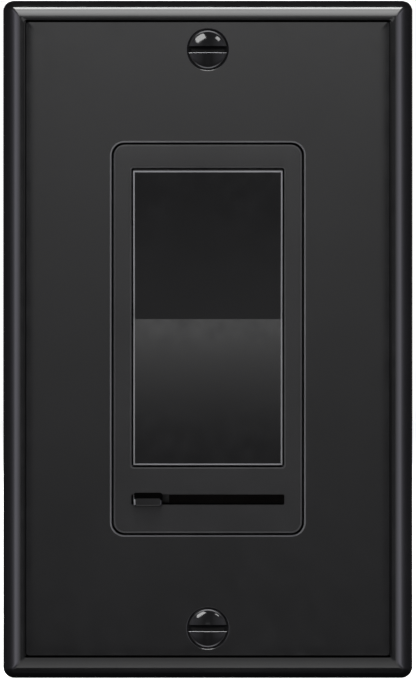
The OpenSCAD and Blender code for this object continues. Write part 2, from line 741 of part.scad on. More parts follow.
module triac_screw() color(zinc) translate([triac_hole_x, pad_t + 1.3, triac_mid_z])
  rotate([-90, 0, 0]) pan_screw(1.4, 2.6, 1.9, 2.8, 0.7);

module choke_core() color([0.25, 0.26, 0.28]) translate([choke_at[0], 0, choke_at[1]])
  slab(18, 24) difference() {
    circle(8);
    circle(4);
  }

module choke_winding() color([0.72, 0.38, 0.18]) translate([choke_at[0], 21, choke_at[1]]) {
  for (i = [0 : choke_turns - 1]) rotate([0, 90 + (i + 2) * choke_step, 0])
    translate([choke_mid_r, 0, -0.35]) linear_extrude(0.7) difference() {
      round_rect([5.6, 7.6], 1);
      round_rect([4.2, 6.2], 0.3);
    }
  for (s = [-1, 1]) translate([choke_lead(s)[0], 0, choke_lead(s)[1]])
    rod_y(lead_r, lead_end_y - 21, -3.5);
}

module film_capacitor() color([0.75, 0.12, 0.10])
  translate([film_cap_at[0], 0, film_cap_at[1]]) {
    slab(board_y[1] + 0.3, 25.6) round_rect([16, 8], 0.8);
    for (s = [-1, 1]) translate([s * 6, 0, 0]) rod_y(lead_r, lead_end_y, board_y[1] + 0.5);
  }

module timing_capacitor() color([0.85, 0.55, 0.15])
  translate([timing_cap_at[0], 0, timing_cap_at[1]]) {
    slab(board_y[1] + 0.4, 24) round_rect([7.5, 3.4], 0.6);
    for (s = [-1, 1]) translate([s * 2.5, 0, 0]) rod_y(lead_r, lead_end_y, board_y[1] + 0.6);
  }

// An axial part along X, standing off the board, with its leads bent down into their holes
module axial_part(body_r, body_l, lead_span, height) {
  translate([0, height, 0]) {
    rod_x(body_r, -body_l / 2, body_l / 2);
    rod_x(lead_r, -lead_span / 2 - lead_r, lead_span / 2 + lead_r);
  }
  for (s = [-1, 1]) translate([s * lead_span / 2, 0, 0]) rod_y(lead_r, lead_end_y, height);
}

module diac() color([0.15, 0.35, 0.60]) translate([diac_at[0], 0, diac_at[1]])
  axial_part(1, 4, 8, 18.4);

module resistors() color([0.80, 0.68, 0.50])
  for (z = resistor_z) translate([resistor_x, 0, z]) {
    axial_part(1, 6.6, 11, 18.4);
    for (s = [-1, 1]) translate([s * 2.6, 18.4, 0]) rod_x(1.25, -0.7, 0.7);
  }

module fuse() color([0.88, 0.86, 0.80]) translate([fuse_at[0], 0, fuse_at[1]])
  axial_part(1.7, 9, 14, 19.1);

module varistor() color([0.20, 0.38, 0.62]) translate([varistor_at[0], 0, varistor_at[1]]) {
  translate([0, 21.6, -1.6]) cylinder(r = 4, h = 3.2);
  for (s = [-1, 1]) translate([s * 2.5, 0, 0]) rod_y(lead_r, lead_end_y, 19);
}

// Assembly ------------------------------------------------------------------

wall_plate();
plate_screws();
front_frame();
frame_screws();
rocker();
rocker_plunger();
plunger_spring();
slider_knob();
slide_lever();
slide_wiper();
slide_pot_case();
slide_pot_track();
mounting_strap();
box_screws();
screw_retainers();
ground_screw();
rear_housing();
traveler_terminal_upper();
traveler_terminal_lower();
common_terminal();
traveler_screws();
common_screw();
wire_clamps();
contact_block();
fulcrum_bracket();
contact_arm();
moving_contacts();
fixed_contacts();
circuit_board();
triac();
triac_insulator();
triac_screw();
choke_core();
choke_winding();
film_capacitor();
timing_capacitor();
diac();
resistors();
fuse();
varistor();
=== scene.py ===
"""Looks for a rocker wall switch with a slide dimmer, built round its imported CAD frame.

X runs to the right, Z up, and the front faces -Y. Shapes are drawn in millimetres and scaled to metres
when they are placed. Lights are given by their direction from the object and the radiance they show.
"""
import json
import math

import bmesh
import bpy
from mathutils import Matrix, Vector


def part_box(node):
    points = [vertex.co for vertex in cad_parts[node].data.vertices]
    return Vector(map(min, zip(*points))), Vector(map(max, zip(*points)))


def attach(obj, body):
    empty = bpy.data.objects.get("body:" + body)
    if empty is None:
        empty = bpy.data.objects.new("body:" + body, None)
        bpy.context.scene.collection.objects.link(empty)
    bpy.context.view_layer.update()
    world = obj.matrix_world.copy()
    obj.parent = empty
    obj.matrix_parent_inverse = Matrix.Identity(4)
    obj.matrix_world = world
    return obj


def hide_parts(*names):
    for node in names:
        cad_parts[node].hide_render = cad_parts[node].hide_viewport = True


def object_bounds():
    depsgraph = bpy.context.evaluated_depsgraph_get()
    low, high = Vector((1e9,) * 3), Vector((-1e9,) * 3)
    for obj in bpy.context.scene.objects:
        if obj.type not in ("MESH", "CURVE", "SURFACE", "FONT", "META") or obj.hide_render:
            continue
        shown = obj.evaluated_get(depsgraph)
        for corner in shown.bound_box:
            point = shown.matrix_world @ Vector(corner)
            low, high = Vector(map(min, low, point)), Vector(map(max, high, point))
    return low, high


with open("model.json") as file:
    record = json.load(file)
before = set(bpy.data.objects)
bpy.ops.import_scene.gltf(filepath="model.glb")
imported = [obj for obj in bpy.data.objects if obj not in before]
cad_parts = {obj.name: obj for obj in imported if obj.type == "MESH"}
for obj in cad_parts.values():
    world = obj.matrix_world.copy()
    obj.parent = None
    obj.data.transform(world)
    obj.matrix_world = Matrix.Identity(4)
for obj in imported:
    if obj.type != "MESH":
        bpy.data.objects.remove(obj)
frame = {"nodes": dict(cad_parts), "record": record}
cad_low, cad_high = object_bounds()

MM = 0.001
PI = math.pi


def node_box(name):
    """A CAD node's lowest and highest corners, in millimetres."""
    low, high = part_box(name)
    return low / MM, high / MM


# Rings, lofts and solids --------------------------------------------------------------------------

CORNER_STEPS = 8  # steps round a corner of an outline
TURN_STEPS = 48  # steps round a turned piece
FINE_TURN_STEPS = 64
COARSE_TURN_STEPS = 32
BAR_STEPS = 40
TINY = 1e-5  # radius that stands for a point on an axis
SAME_POINT = 1e-4  # points closer than this are one point
SHARP_ANGLE = 34  # degrees past which an edge is shaded sharp


def rounded(width, height, radius, y, middle=0.0, side=0.0):
    """A ring round a rectangle with round corners, at depth y, centred at x = side and z = middle."""
    ring = []
    for corner, (sx, sz) in enumerate([(1, 1), (-1, 1), (-1, -1), (1, -1)]):
        x = side + sx * (width / 2 - radius)
        z = middle + sz * (height / 2 - radius)
        for step in range(CORNER_STEPS + 1):
            turn = (corner + step / CORNER_STEPS) * PI / 2
            ring.append(Vector((x + radius * math.cos(turn), y, z + radius * math.sin(turn))))
    return ring


def circle(radius, y, at=(0.0, 0.0), steps=TURN_STEPS):
    """A ring of that radius about an axis along Y, at depth y."""
    ring = []
    for step in range(steps):
        turn = 2 * PI * step / steps
        ring.append(Vector((at[0] + radius * math.cos(turn), y, at[1] + radius * math.sin(turn))))
    return ring


def arc(centre, radius, start, end, steps):
    """Points on an arc in a plane, with its angles in degrees."""
    points = []
    for step in range(steps + 1):
        turn = math.radians(start + (end - start) * step / steps)
        points.append((centre[0] + radius * math.cos(turn), centre[1] + radius * math.sin(turn)))
    return points


def piece_of(name, mesh, finishes):
    """A new object that holds a bmesh and these materials."""
    data = bpy.data.meshes.new(name)
    mesh.to_mesh(data)
    mesh.free()
    for material in finishes:
        data.materials.append(material)
    piece = bpy.data.objects.new(name, data)
    bpy.context.scene.collection.objects.link(piece)
    return piece


def solid(name, rings, joined=False, finishes=(), finish=None):
    """A closed solid skinned over rings. joined runs the last ring back to the first, finishes are
    its materials, and finish(span, side) gives the material number of a face."""
    count = len(rings[0])
    last = max(0, len(finishes) - 1)
    mesh = bmesh.new()
    points = [[mesh.verts.new(p) for p in ring] for ring in rings]
    spans = len(rings) if joined else len(rings) - 1
    for span in range(spans):
        near, far = points[span], points[(span + 1) % len(rings)]
        for side in range(count):
            after = (side + 1) % count
            face = mesh.faces.new((near[side], near[after], far[after], far[side]))
            face.material_index = finish(span, side) if finish else last
    if not joined:
        for cap in (points[0], points[-1]):
            mesh.faces.new(cap).material_index = 0 if finish else last
    bmesh.ops.remove_doubles(mesh, verts=mesh.verts, dist=SAME_POINT)
    bmesh.ops.recalc_face_normals(mesh, faces=mesh.faces)
    return piece_of(name, mesh, finishes)


def turned(name, profile, at=(0.0, 0.0), steps=TURN_STEPS, finishes=()):
    """A solid turned about an axis along Y from (radius, depth) points."""
    rings = [circle(max(r, TINY), y, at, steps) for r, y in profile]
    return solid(name, rings, False, finishes)


def bar_x(name, radius, x0, x1, y, z, finishes=()):
    """A round bar along X."""
    bar = turned(name, [(radius, x0), (radius, x1)], (0, 0), BAR_STEPS, finishes)
    bar.data.transform(Matrix.Translation((0, y, z)) @ Matrix.Rotation(-PI / 2, 4, "Z"))
    return bar


def block(name, low, high, finishes=()):
    """A plain box between two corners, used as a tool or a rib."""
    corners = [(high[0], high[2]), (low[0], high[2]), (low[0], low[2]), (high[0], low[2])]
    rings = [[Vector((x, y, z)) for x, z in corners] for y in (low[1], high[1])]
    return solid(name, rings, False, finishes)


def baked(piece):
    """Replaces a piece's mesh by what its modifiers make of it."""
    bpy.context.view_layer.update()
    graph = bpy.context.evaluated_depsgraph_get()
    mesh = bpy.data.meshes.new_from_object(piece.evaluated_get(graph))
    piece.modifiers.clear()
    piece.data = mesh
    return piece


def combine(piece, operation, tools):
    """Adds tools to a piece, or takes them away from it, and discards them."""
    for tool in tools:
        step = piece.modifiers.new("combine", "BOOLEAN")
        step.operation = operation
        step.solver = "EXACT"
        step.object = tool
    baked(piece)
    for tool in tools:
        bpy.data.objects.remove(tool)
    return piece


def cut(piece, *tools):
    """Takes the tools away from a piece."""
    return combine(piece, "DIFFERENCE", tools)


def join(piece, *tools):
    """Adds the tools to a piece."""
    return combine(piece, "UNION", tools)


EDGE_WEIGHT = "bevel_weight_edge"  # the name under which Blender keeps an edge's bevel weight


def soften_edges(piece, width, chosen, material=-1):
    """Rounds the edges whose two ends both satisfy chosen(point), and gives them a material number,
    or with -1 their neighbours' material."""
    mesh = piece.data
    weight = mesh.attributes.get(EDGE_WEIGHT)
    if weight is None:
        weight = mesh.attributes.new(EDGE_WEIGHT, "FLOAT", "EDGE")
    for edge in mesh.edges:
        ends = [mesh.vertices[v].co for v in edge.vertices]
        weight.data[edge.index].value = 1.0 if all(chosen(p) for p in ends) else 0.0
    bevel = piece.modifiers.new("edges", "BEVEL")
    bevel.limit_method = "WEIGHT"
    bevel.width = width
    bevel.segments = 3
    bevel.material = material
    return baked(piece)


def place(piece, body, nodes, finishes):
    """Scales a finished piece to metres, gives it its materials and lets it ride on its body."""
    piece.data.transform(Matrix.Scale(MM, 4))
    for finish in finishes:
        if finish.name not in piece.data.materials:
            piece.data.materials.append(finish)
    piece.data.shade_smooth()
    piece.data.set_sharp_from_angle(angle=math.radians(SHARP_ANGLE))
    normals = piece.modifiers.new("normals", "WEIGHTED_NORMAL")
    normals.keep_sharp = True
    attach(piece, body)
    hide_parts(*nodes)
    return piece


# Materials ----------------------------------------------------------------------------------------


class Tree:
    """The node tree of a material, light or world, with short ways to add nodes to it."""

    def __init__(self, owner):
        """Turns the owner's nodes on."""
        owner.use_nodes = True
        self.nodes = owner.node_tree.nodes
        self.links = owner.node_tree.links

    def node(self, kind, **values):
        """Adds a node and sets its inputs or properties of those names."""
        made = self.nodes.new(kind)
        for name, value in values.items():
            title = name.replace("_", " ").title()
            if title in made.inputs:
                self.fill(made.inputs[title], value)
            else:
                setattr(made, name, value)
        return made

    def fill(self, socket, value):
        """Gives an input a value, or links it to an output."""
        if hasattr(value, "is_output"):
            self.links.new(value, socket)
        else:
            socket.default_value = value

    def compute(self, operation, *values):
        """The result of a sum on outputs and numbers."""
        made = self.node("ShaderNodeMath", operation=operation)
        for socket, value in zip(made.inputs, values):
            self.fill(socket, value)
        return made.outputs[0]

    def split(self, vector):
        """The X, Y and Z outputs of a vector."""
        return self.node("ShaderNodeSeparateXYZ", vector=vector).outputs

    def span(self, source, low, high, from_low=0.3, from_high=0.7):
        """Maps a value onto the span from low to high."""
        made = self.node("ShaderNodeMapRange", value=source, from_min=from_low, from_max=from_high,
                         to_min=low, to_max=high)
        return made.outputs["Result"]

    def blend(self, factor, first, second):
        """A colour between two colours, either of which may be an output."""
        mix = self.node("ShaderNodeMix", data_type="RGBA")
        self.fill(mix.inputs["Factor"], factor)
        for socket, colour in ((mix.inputs[6], first), (mix.inputs[7], second)):
            self.fill(socket, colour if hasattr(colour, "is_output") else (*colour, 1.0))
        return mix.outputs[2]


class Graph(Tree):
    """A new material's node tree."""

    def __init__(self, name):
        """Starts a material that holds only its surface shader."""
        self.material = bpy.data.materials.new(name)
        super().__init__(self.material)
        self.shader = self.nodes["Principled BSDF"]

    def surface(self, **inputs):
        """Sets the surface shader's inputs, by name, to values or outputs."""
        for name, value in inputs.items():
            self.fill(self.shader.inputs[name.replace("_", " ")], value)

    def where(self):
        """The point in object coordinates, in metres."""
        return self.node("ShaderNodeTexCoord").outputs["Object"]

    def place(self, stretch=(1, 1, 1)):
        """Object coordinates in millimetres, stretched along each axis."""
        scale = [s / MM for s in stretch]
        return self.node("ShaderNodeMapping", vector=self.where(), scale=scale).outputs["Vector"]

    def noise(self, where, scale, detail=2.0, rough=0.5):
        """Noise from 0 to 1, with scale in waves per millimetre."""
        made = self.node("ShaderNodeTexNoise", vector=where, scale=scale, detail=detail, roughness=rough)
        return made.outputs["Fac"]

    def bump(self, height, strength, depth_mm, before=None):
        """A normal roughened by a height, on top of the normal before, if there is one."""
        made = self.node("ShaderNodeBump", strength=strength, distance=depth_mm * MM, height=height)
        if before is not None:
            self.fill(made.inputs["Normal"], before)
        return made.outputs["Normal"]


def shade(colour, factor):
    """A colour made lighter or darker by a factor."""
    return tuple(min(1.0, c * factor) for c in colour)


def moulded(name, colour, roughness, grain=6.0, relief=0.002, specular=0.5, uneven=0.03):
    """Moulded plastic: an even colour with faint flow marks, and a very fine grain."""
    graph = Graph(name)
    where = graph.place()
    flow = graph.span(graph.noise(where, 0.09, 3.0), 0.0, 1.0)
    fine = graph.noise(where, grain, 2.0)
    patch = graph.noise(where, 0.35, 4.0)
    graph.surface(Base_Color=graph.blend(flow, shade(colour, 0.9), shade(colour, 1.12)),
                  Roughness=graph.span(patch, roughness - uneven, roughness + uneven),
                  Normal=graph.bump(fine, 0.5, relief), Specular_IOR_Level=specular)
    return graph.material


def metal(name, colour, roughness, stretch=(1, 1, 1), scale=1.2, relief=0.004, tarnish=None):
    """Metal with a drawn or rolled grain along the axis with the smallest stretch."""
    graph = Graph(name)
    grain = graph.noise(graph.place(stretch), scale, 4.0, 0.6)
    cloud = graph.span(graph.noise(graph.place(), 0.25, 3.0), 0.0, 1.0)
    graph.surface(Base_Color=graph.blend(cloud, colour, tarnish or shade(colour, 0.82)),
                  Roughness=graph.span(grain, roughness - 0.07, roughness + 0.09),
                  Normal=graph.bump(grain, 0.6, relief), Metallic=1.0)
    return graph.material


def speckled(name, colour, fleck, roughness, scale=3.0, amount=0.62, relief=0.01):
    """A filled or sintered material: a base colour with flecks and a rough skin."""
    graph = Graph(name)
    where = graph.place()
    dots = graph.noise(where, scale, 5.0, 0.7)
    cloud = graph.noise(where, 0.4, 2.0)
    flecks = graph.span(dots, 0.0, 1.0, amount - 0.08, amount + 0.08)
    graph.surface(Base_Color=graph.blend(flecks, colour, fleck),
                  Roughness=graph.span(cloud, roughness - 0.06, roughness + 0.06),
                  Normal=graph.bump(dots, 0.5, relief))
    return graph.material


def laminate(name):
    """Circuit board: green solder mask over a woven glass cloth, with faint copper tracks."""
    graph = Graph(name)
    where = graph.place()
    turned_up = graph.node("ShaderNodeMapping", vector=where, rotation=(PI / 2, 0, 0)).outputs["Vector"]
    weave = graph.node("ShaderNodeTexBrick", vector=turned_up, scale=1.0, mortar_size=0.08,
                       brick_width=0.8, row_height=0.5).outputs["Fac"]
    waves = graph.node("ShaderNodeTexWave", vector=turned_up, scale=0.11, distortion=1.5, detail=0.0)
    cloth = graph.blend(weave, (0.030, 0.115, 0.045), (0.022, 0.085, 0.034))
    copper = graph.span(waves.outputs["Fac"], 0.0, 0.7, 0.62, 0.68)
    height = graph.bump(weave, 0.3, 0.01)
    graph.surface(Base_Color=graph.blend(copper, cloth, (0.075, 0.22, 0.075)),
                  Roughness=graph.span(graph.noise(where, 0.5), 0.28, 0.4),
                  Normal=graph.bump(copper, 0.5, 0.035, height))
    return graph.material


TINNED = (0.55, 0.55, 0.56)  # colour of a bare lead
BAND_HALF = 0.3  # half the width of a colour band
COAT_HALF = 3.32  # half the length of a resistor's coat
STRAP_BACK_Y = 0.3  # the whole triac lies behind it, so that its leads are black too
# Depths of the undersides of the dipped components' coats
FILM_COAT_Y = 17.28
TIMING_COAT_Y = 17.38
VARISTOR_COAT_Y = 17.45


def banded(name, body, bands):
    """A resistor's coat with plain colour bands round it; bands are (offset in mm, colour) along X."""
    graph = Graph(name)
    along = graph.split(graph.where())["X"]
    low, high = node_box("resistors")
    centre = (low.x + high.x) / 2
    tone = body
    for offset, colour in bands:
        band = graph.compute("COMPARE", along, (centre + offset) * MM, BAND_HALF * MM)
        tone = graph.blend(band, tone, colour)
    coat = graph.compute("COMPARE", along, centre * MM, COAT_HALF * MM)
    patch = graph.noise(graph.place(), 1.5, 3.0)
    graph.surface(Base_Color=graph.blend(coat, TINNED, tone), Metallic=graph.compute("SUBTRACT", 1.0, coat),
                  Roughness=graph.span(patch, 0.3, 0.45), Normal=graph.bump(patch, 0.4, 0.01))
    return graph.material


def leaded(name, colour, top_y, roughness=0.35):
    """A coated component whose tinned leads show on the board's side of top_y."""
    graph = Graph(name)
    where = graph.place()
    coat = graph.compute("GREATER_THAN", graph.split(graph.where())["Y"], top_y * MM)
    cloud = graph.noise(where, 0.5, 3.0)
    body = graph.blend(graph.span(cloud, 0.0, 1.0), shade(colour, 0.88), shade(colour, 1.1))
    graph.surface(Base_Color=graph.blend(coat, TINNED, body), Metallic=graph.compute("SUBTRACT", 1.0, coat),
                  Roughness=graph.span(cloud, roughness - 0.08, roughness + 0.08),
                  Normal=graph.bump(graph.noise(where, 2.5, 3.0), 0.4, 0.012))
    return graph.material


def highlight_arc(name, highlight_tone, painted, near, far):
    """A painted highlight across a rim: lightest close to the middle line, and the paint's colour beyond far
    from it, in mm.
    """
    graph = Graph(name)
    side = graph.compute("ABSOLUTE", graph.split(graph.where())["X"])
    patch = graph.noise(graph.place(), 0.8, 3.0)
    graph.surface(Base_Color=graph.blend(graph.span(side, 0.0, 1.0, near * MM, far * MM), highlight_tone, painted),
                  Roughness=graph.span(patch, 0.42, 0.58), Normal=graph.bump(patch, 0.4, 0.004),
                  Specular_IOR_Level=0.0)
    return graph.material


PLATE = moulded("plate_gloss", (0.0058, 0.0058, 0.0060), 0.11)
# The plate's lip: a lighter colour without reflection, a painted highlight along the opening's edge
PLATE_LIP_HIGHLIGHT = moulded("plate_lip_painted_highlight", (0.074, 0.074, 0.075), 0.5, specular=0.0)
INSERT = moulded("insert_satin", (0.0102, 0.0102, 0.0104), 0.14)
# The insert's lip: a lighter colour that adds a painted highlight to the edge's real reflection
INSERT_LIP_HIGHLIGHT = moulded("insert_lip_painted_highlight", (0.024, 0.024, 0.0243), 0.2, specular=0.4)
ROCKER = moulded("rocker_satin", (0.0065, 0.0065, 0.0066), 0.13)
# The rocker's lip: a lighter colour without reflection, a painted highlight along the rocker's edges and the
# knob's left edge
ROCKER_LIP_HIGHLIGHT = moulded("rocker_lip_painted_highlight", (0.165, 0.165, 0.167), 0.5, specular=0.0)
KNOB = moulded("knob_satin", (0.0050, 0.0050, 0.0052), 0.16)
# Painted shade: near-black without reflection, in the plate's crease, on the knob's top and on the rocker's
# trunnions
PAINTED_SHADE_BLACK = moulded("painted_shade_black", (0.0008, 0.0008, 0.0008), 0.6, specular=0.0)
SCREW_PAINT = moulded("screw_paint", (0.0044, 0.0044, 0.0046), 0.06, grain=3.0, relief=0.0005, specular=0.1)
# Painted highlight arcs at the top and bottom of each screw's rim, lighter than its paint
SCREW_RIM_HIGHLIGHT = highlight_arc("screw_rim_painted_highlight", (0.075, 0.075, 0.077), (0.012, 0.012, 0.012), 1.0, 2.3)
# A painted highlight along the lower lip of each screw's slot
SCREW_LIP_HIGHLIGHT = moulded("screw_slot_lip_painted_highlight", (0.5, 0.5, 0.505), 0.5, specular=0.0)
# Painted shade on the floor of each screw's slot
SCREW_SLOT_SHADE = moulded("screw_slot_painted_shade", (0.0015, 0.0015, 0.0015), 0.6, specular=0.05)
OVAL_HEAD_FINISHES = [SCREW_PAINT, SCREW_RIM_HIGHLIGHT, SCREW_LIP_HIGHLIGHT, SCREW_SLOT_SHADE]
HOUSING = moulded("housing_thermoset", (0.016, 0.016, 0.017), 0.42, grain=2.2, relief=0.03, uneven=0.05)

FINISHES = {
    "plate_plastic": PLATE,
    "insert_plastic": INSERT,
    "rocker_plastic": ROCKER,
    "knob_plastic": KNOB,
    "black_screw": SCREW_PAINT,
    "housing_plastic": HOUSING,
    "strap_metal": metal("strap_rolled_aluminium", (0.62, 0.63, 0.65), 0.34, (1, 1, 0.05), 3.0),
    "zinc_steel": metal("zinc_plate", (0.60, 0.61, 0.63), 0.30, tarnish=(0.52, 0.50, 0.42)),
    "spring_steel": metal("spring_wire", (0.50, 0.50, 0.52), 0.26, (1, 0.1, 1), 3.0),
    "brass_metal": metal("stamped_brass", (0.66, 0.48, 0.20), 0.30, (1, 1, 0.08), 2.5,
                         tarnish=(0.46, 0.31, 0.12)),
    "black_oxide": metal("black_oxide", (0.010, 0.010, 0.010), 0.6),
    "green_screw": moulded("green_dye", (0.018, 0.17, 0.045), 0.28, grain=1.5, relief=0.01),
    "copper_alloy": metal("copper_arm", (0.78, 0.42, 0.25), 0.28, (1, 1, 0.08), 2.5),
    "copper_wire": metal("enamelled_wire", (0.62, 0.22, 0.07), 0.22, scale=2.0,
                         tarnish=(0.45, 0.13, 0.04)),
    "contact_silver": metal("contact_silver", (0.80, 0.80, 0.78), 0.22, scale=2.5),
    "nylon": moulded("white_nylon", (0.70, 0.69, 0.64), 0.42, grain=2.0, relief=0.01),
    "phenolic": speckled("black_phenolic", (0.012, 0.011, 0.010), (0.03, 0.026, 0.022), 0.75),
    "fibre": speckled("fibre_washer", (0.36, 0.24, 0.12), (0.50, 0.36, 0.20), 0.75, 2.0, 0.5, 0.03),
    "track_board": speckled("phenolic_paper", (0.034, 0.022, 0.013), (0.055, 0.036, 0.02), 0.55, 1.6),
    "board_laminate": laminate("solder_mask"),
    "black_epoxy": leaded("black_epoxy", (0.012, 0.012, 0.013), STRAP_BACK_Y),
    "silicone_pad": speckled("silicone_pad", (0.42, 0.43, 0.44), (0.55, 0.56, 0.57), 0.7, 2.5),
    "ferrite": speckled("ferrite_core", (0.018, 0.018, 0.020), (0.05, 0.05, 0.055), 0.55, 2.2),
    "red_film": leaded("red_epoxy", (0.42, 0.020, 0.014), FILM_COAT_Y, 0.28),
    "amber_epoxy": leaded("amber_epoxy", (0.60, 0.24, 0.03), TIMING_COAT_Y, 0.3),
    "blue_glass": moulded("glass_diode", (0.05, 0.16, 0.36), 0.18, grain=2.0),
    "resistor_coat": banded("resistor_coat", (0.52, 0.36, 0.20), [
        (-2.0, (0.16, 0.05, 0.015)), (-0.9, (0.012, 0.012, 0.012)),
        (0.2, (0.45, 0.03, 0.02)), (1.9, (0.55, 0.38, 0.10))]),
    "fuse_ceramic": speckled("fuse_ceramic", (0.62, 0.60, 0.54), (0.72, 0.70, 0.65), 0.35, 1.5),
    "blue_epoxy": leaded("blue_epoxy", (0.03, 0.12, 0.34), VARISTOR_COAT_Y, 0.33),
}


EDGE_WIDTHS = {"rear_housing": 0.25, "mounting_strap": 0.12, "wire_clamps": 0.12, "ground_screw": 0.1}
SEAM = 1e-6  # how near, in metres, the two sides of a seam are
HARD_EDGE = 40  # degrees past which an edge is rounded


def dress_cad_nodes():
    """Gives every CAD node its slot's material, and rounds the hard edges of those in EDGE_WIDTHS."""
    for subpart in frame["record"]["subparts"]:
        item = frame["nodes"][subpart["node"]]
        for number in range(len(item.data.materials)):
            item.data.materials[number] = FINISHES[subpart["material_slot"]]
        if subpart["node"] in EDGE_WIDTHS:
            weld = item.modifiers.new("weld", "WELD")
            weld.merge_threshold = SEAM
            bevel = item.modifiers.new("edges", "BEVEL")
            bevel.limit_method = "ANGLE"
            bevel.angle_limit = math.radians(HARD_EDGE)
            bevel.width = EDGE_WIDTHS[subpart["node"]] * MM
            bevel.segments = 2
            bevel.use_clamp_overlap = True
            bevel.harden_normals = True


# Wall plate ---------------------------------------------------------------------------------------

PLATE_LOW, PLATE_HIGH = node_box("wall_plate")
PLATE_W = PLATE_HIGH.x - PLATE_LOW.x
PLATE_H = PLATE_HIGH.z - PLATE_LOW.z
PLATE_CORNER_R = 1.9
PLATE_RIM_W = 2.2  # thickness of the plate's outer wall at the back
FACE_Y = PLATE_LOW.y  # depth of the flat face
BORDER_Y = FACE_Y + 0.55  # depth of the border inside its rolled edge
INNER_Y = FACE_Y + 2.2  # depth of the hollow behind the face
FOOT_CHAMFER = 0.15  # where the outer wall meets the building's wall
ROLL_R = 3.2  # radius of the rolled edge
ROLL_END = 88  # degrees of the quarter turn that the roll goes through
ROLL_STEPS = 20
CREASE = 3.75  # from the outline to the middle of the crease round the face
CREASE_DEPTH = 0.3
CREASE_HALF = 0.1  # half its width under the broken outer edge
CREASE_FLOOR_HALF = 0.04
CREASE_BREAK = 0.04
BORDER_LEAN = (-0.017, 0.03, -0.028)  # depth that the border gains at its sides, top and bottom
SHOULDER_START = 0.3  # from the middle of the crease to the faint shoulder beside it
SHOULDER_W = 2.0
SHOULDER_STEPS = 7
SHOULDER_LEAN = (0.03, 0.0, 0.02)  # depth of its outer edge at the sides, top and bottom
SHOULDER_POWER = 2.5
MITRE_R = 0.45  # corner radius of every outline inside the border
OPENING = (32.8, 66.9, 2.15)  # width, height and corner radius
OPENING_LIP = 0.29
OPENING_RIB = (3.0, 3.0)  # how much wider than the opening its stiffening rib is, and how deep it goes
LIP_DROP = 0.02  # how little a worn lip slopes
PLATE_SCREW_Z = 49.33
PLATE_HOLE_R = 2.0
COUNTERSINK_R = 3.6
BOSS_Y = -1.5  # how far back the screw bosses come
STIFFENERS = (-40, -20, 0, 20, 40)  # heights of the ribs between the face and the outer walls
STIFFENER_X = (23.5, 33.5)
STIFFENER_HALF = 0.6
STIFFENER_Y = -1.0
WELD = 0.4  # how far an added rib sinks into what it stands on
BEYOND = 1.0  # how far a cutting tool reaches past the surface that it cuts


def plate_ring(inset, y):
    """The plate's outline, set in by a distance. The corners turn into mitres further in."""
    radius = max(PLATE_CORNER_R - inset, MITRE_R)
    return rounded(PLATE_W - 2 * inset, PLATE_H - 2 * inset, radius, y)


def leaning_ring(inset, y, lean, share=1.0):
    """plate_ring with a share of a lean, which is more depth at its sides, top and bottom."""
    at_sides, at_top, at_bottom = [share * depth for depth in lean]
    ring = plate_ring(inset, y)
    for number, point in enumerate(ring):
        corner, step = divmod(number, CORNER_STEPS + 1)
        turn = (corner + step / CORNER_STEPS) * PI / 2
        at_end = at_top if turn < PI else at_bottom
        point.y += at_sides * math.cos(turn) ** 2 + at_end * math.sin(turn) ** 2
    return ring


def shoulder_ring(along):
    """The faint shoulder beside the crease, from 0 at its edge to 1 where it is flat."""
    inset = CREASE + SHOULDER_START + SHOULDER_W * along
    return leaning_ring(inset, FACE_Y, SHOULDER_LEAN, (1 - along) ** SHOULDER_POWER)


def opening_ring(grow, y):
    """The plate's opening, grown by a distance on every side."""
    return rounded(OPENING[0] + 2 * grow, OPENING[1] + 2 * grow, OPENING[2] + grow, y)


def cavity_ring(grow, y, radius):
    """The hollow behind the plate, grown by a distance on every side."""
    grow -= PLATE_RIM_W
    return rounded(PLATE_W + 2 * grow, PLATE_H + 2 * grow, radius, y)


def along_ends(side):
    """Whether a stretch of a rounded outline belongs to its top or bottom."""
    along_half = side % (2 * CORNER_STEPS + 2)
    return CORNER_STEPS / 2 <= along_half <= 3 * CORNER_STEPS / 2


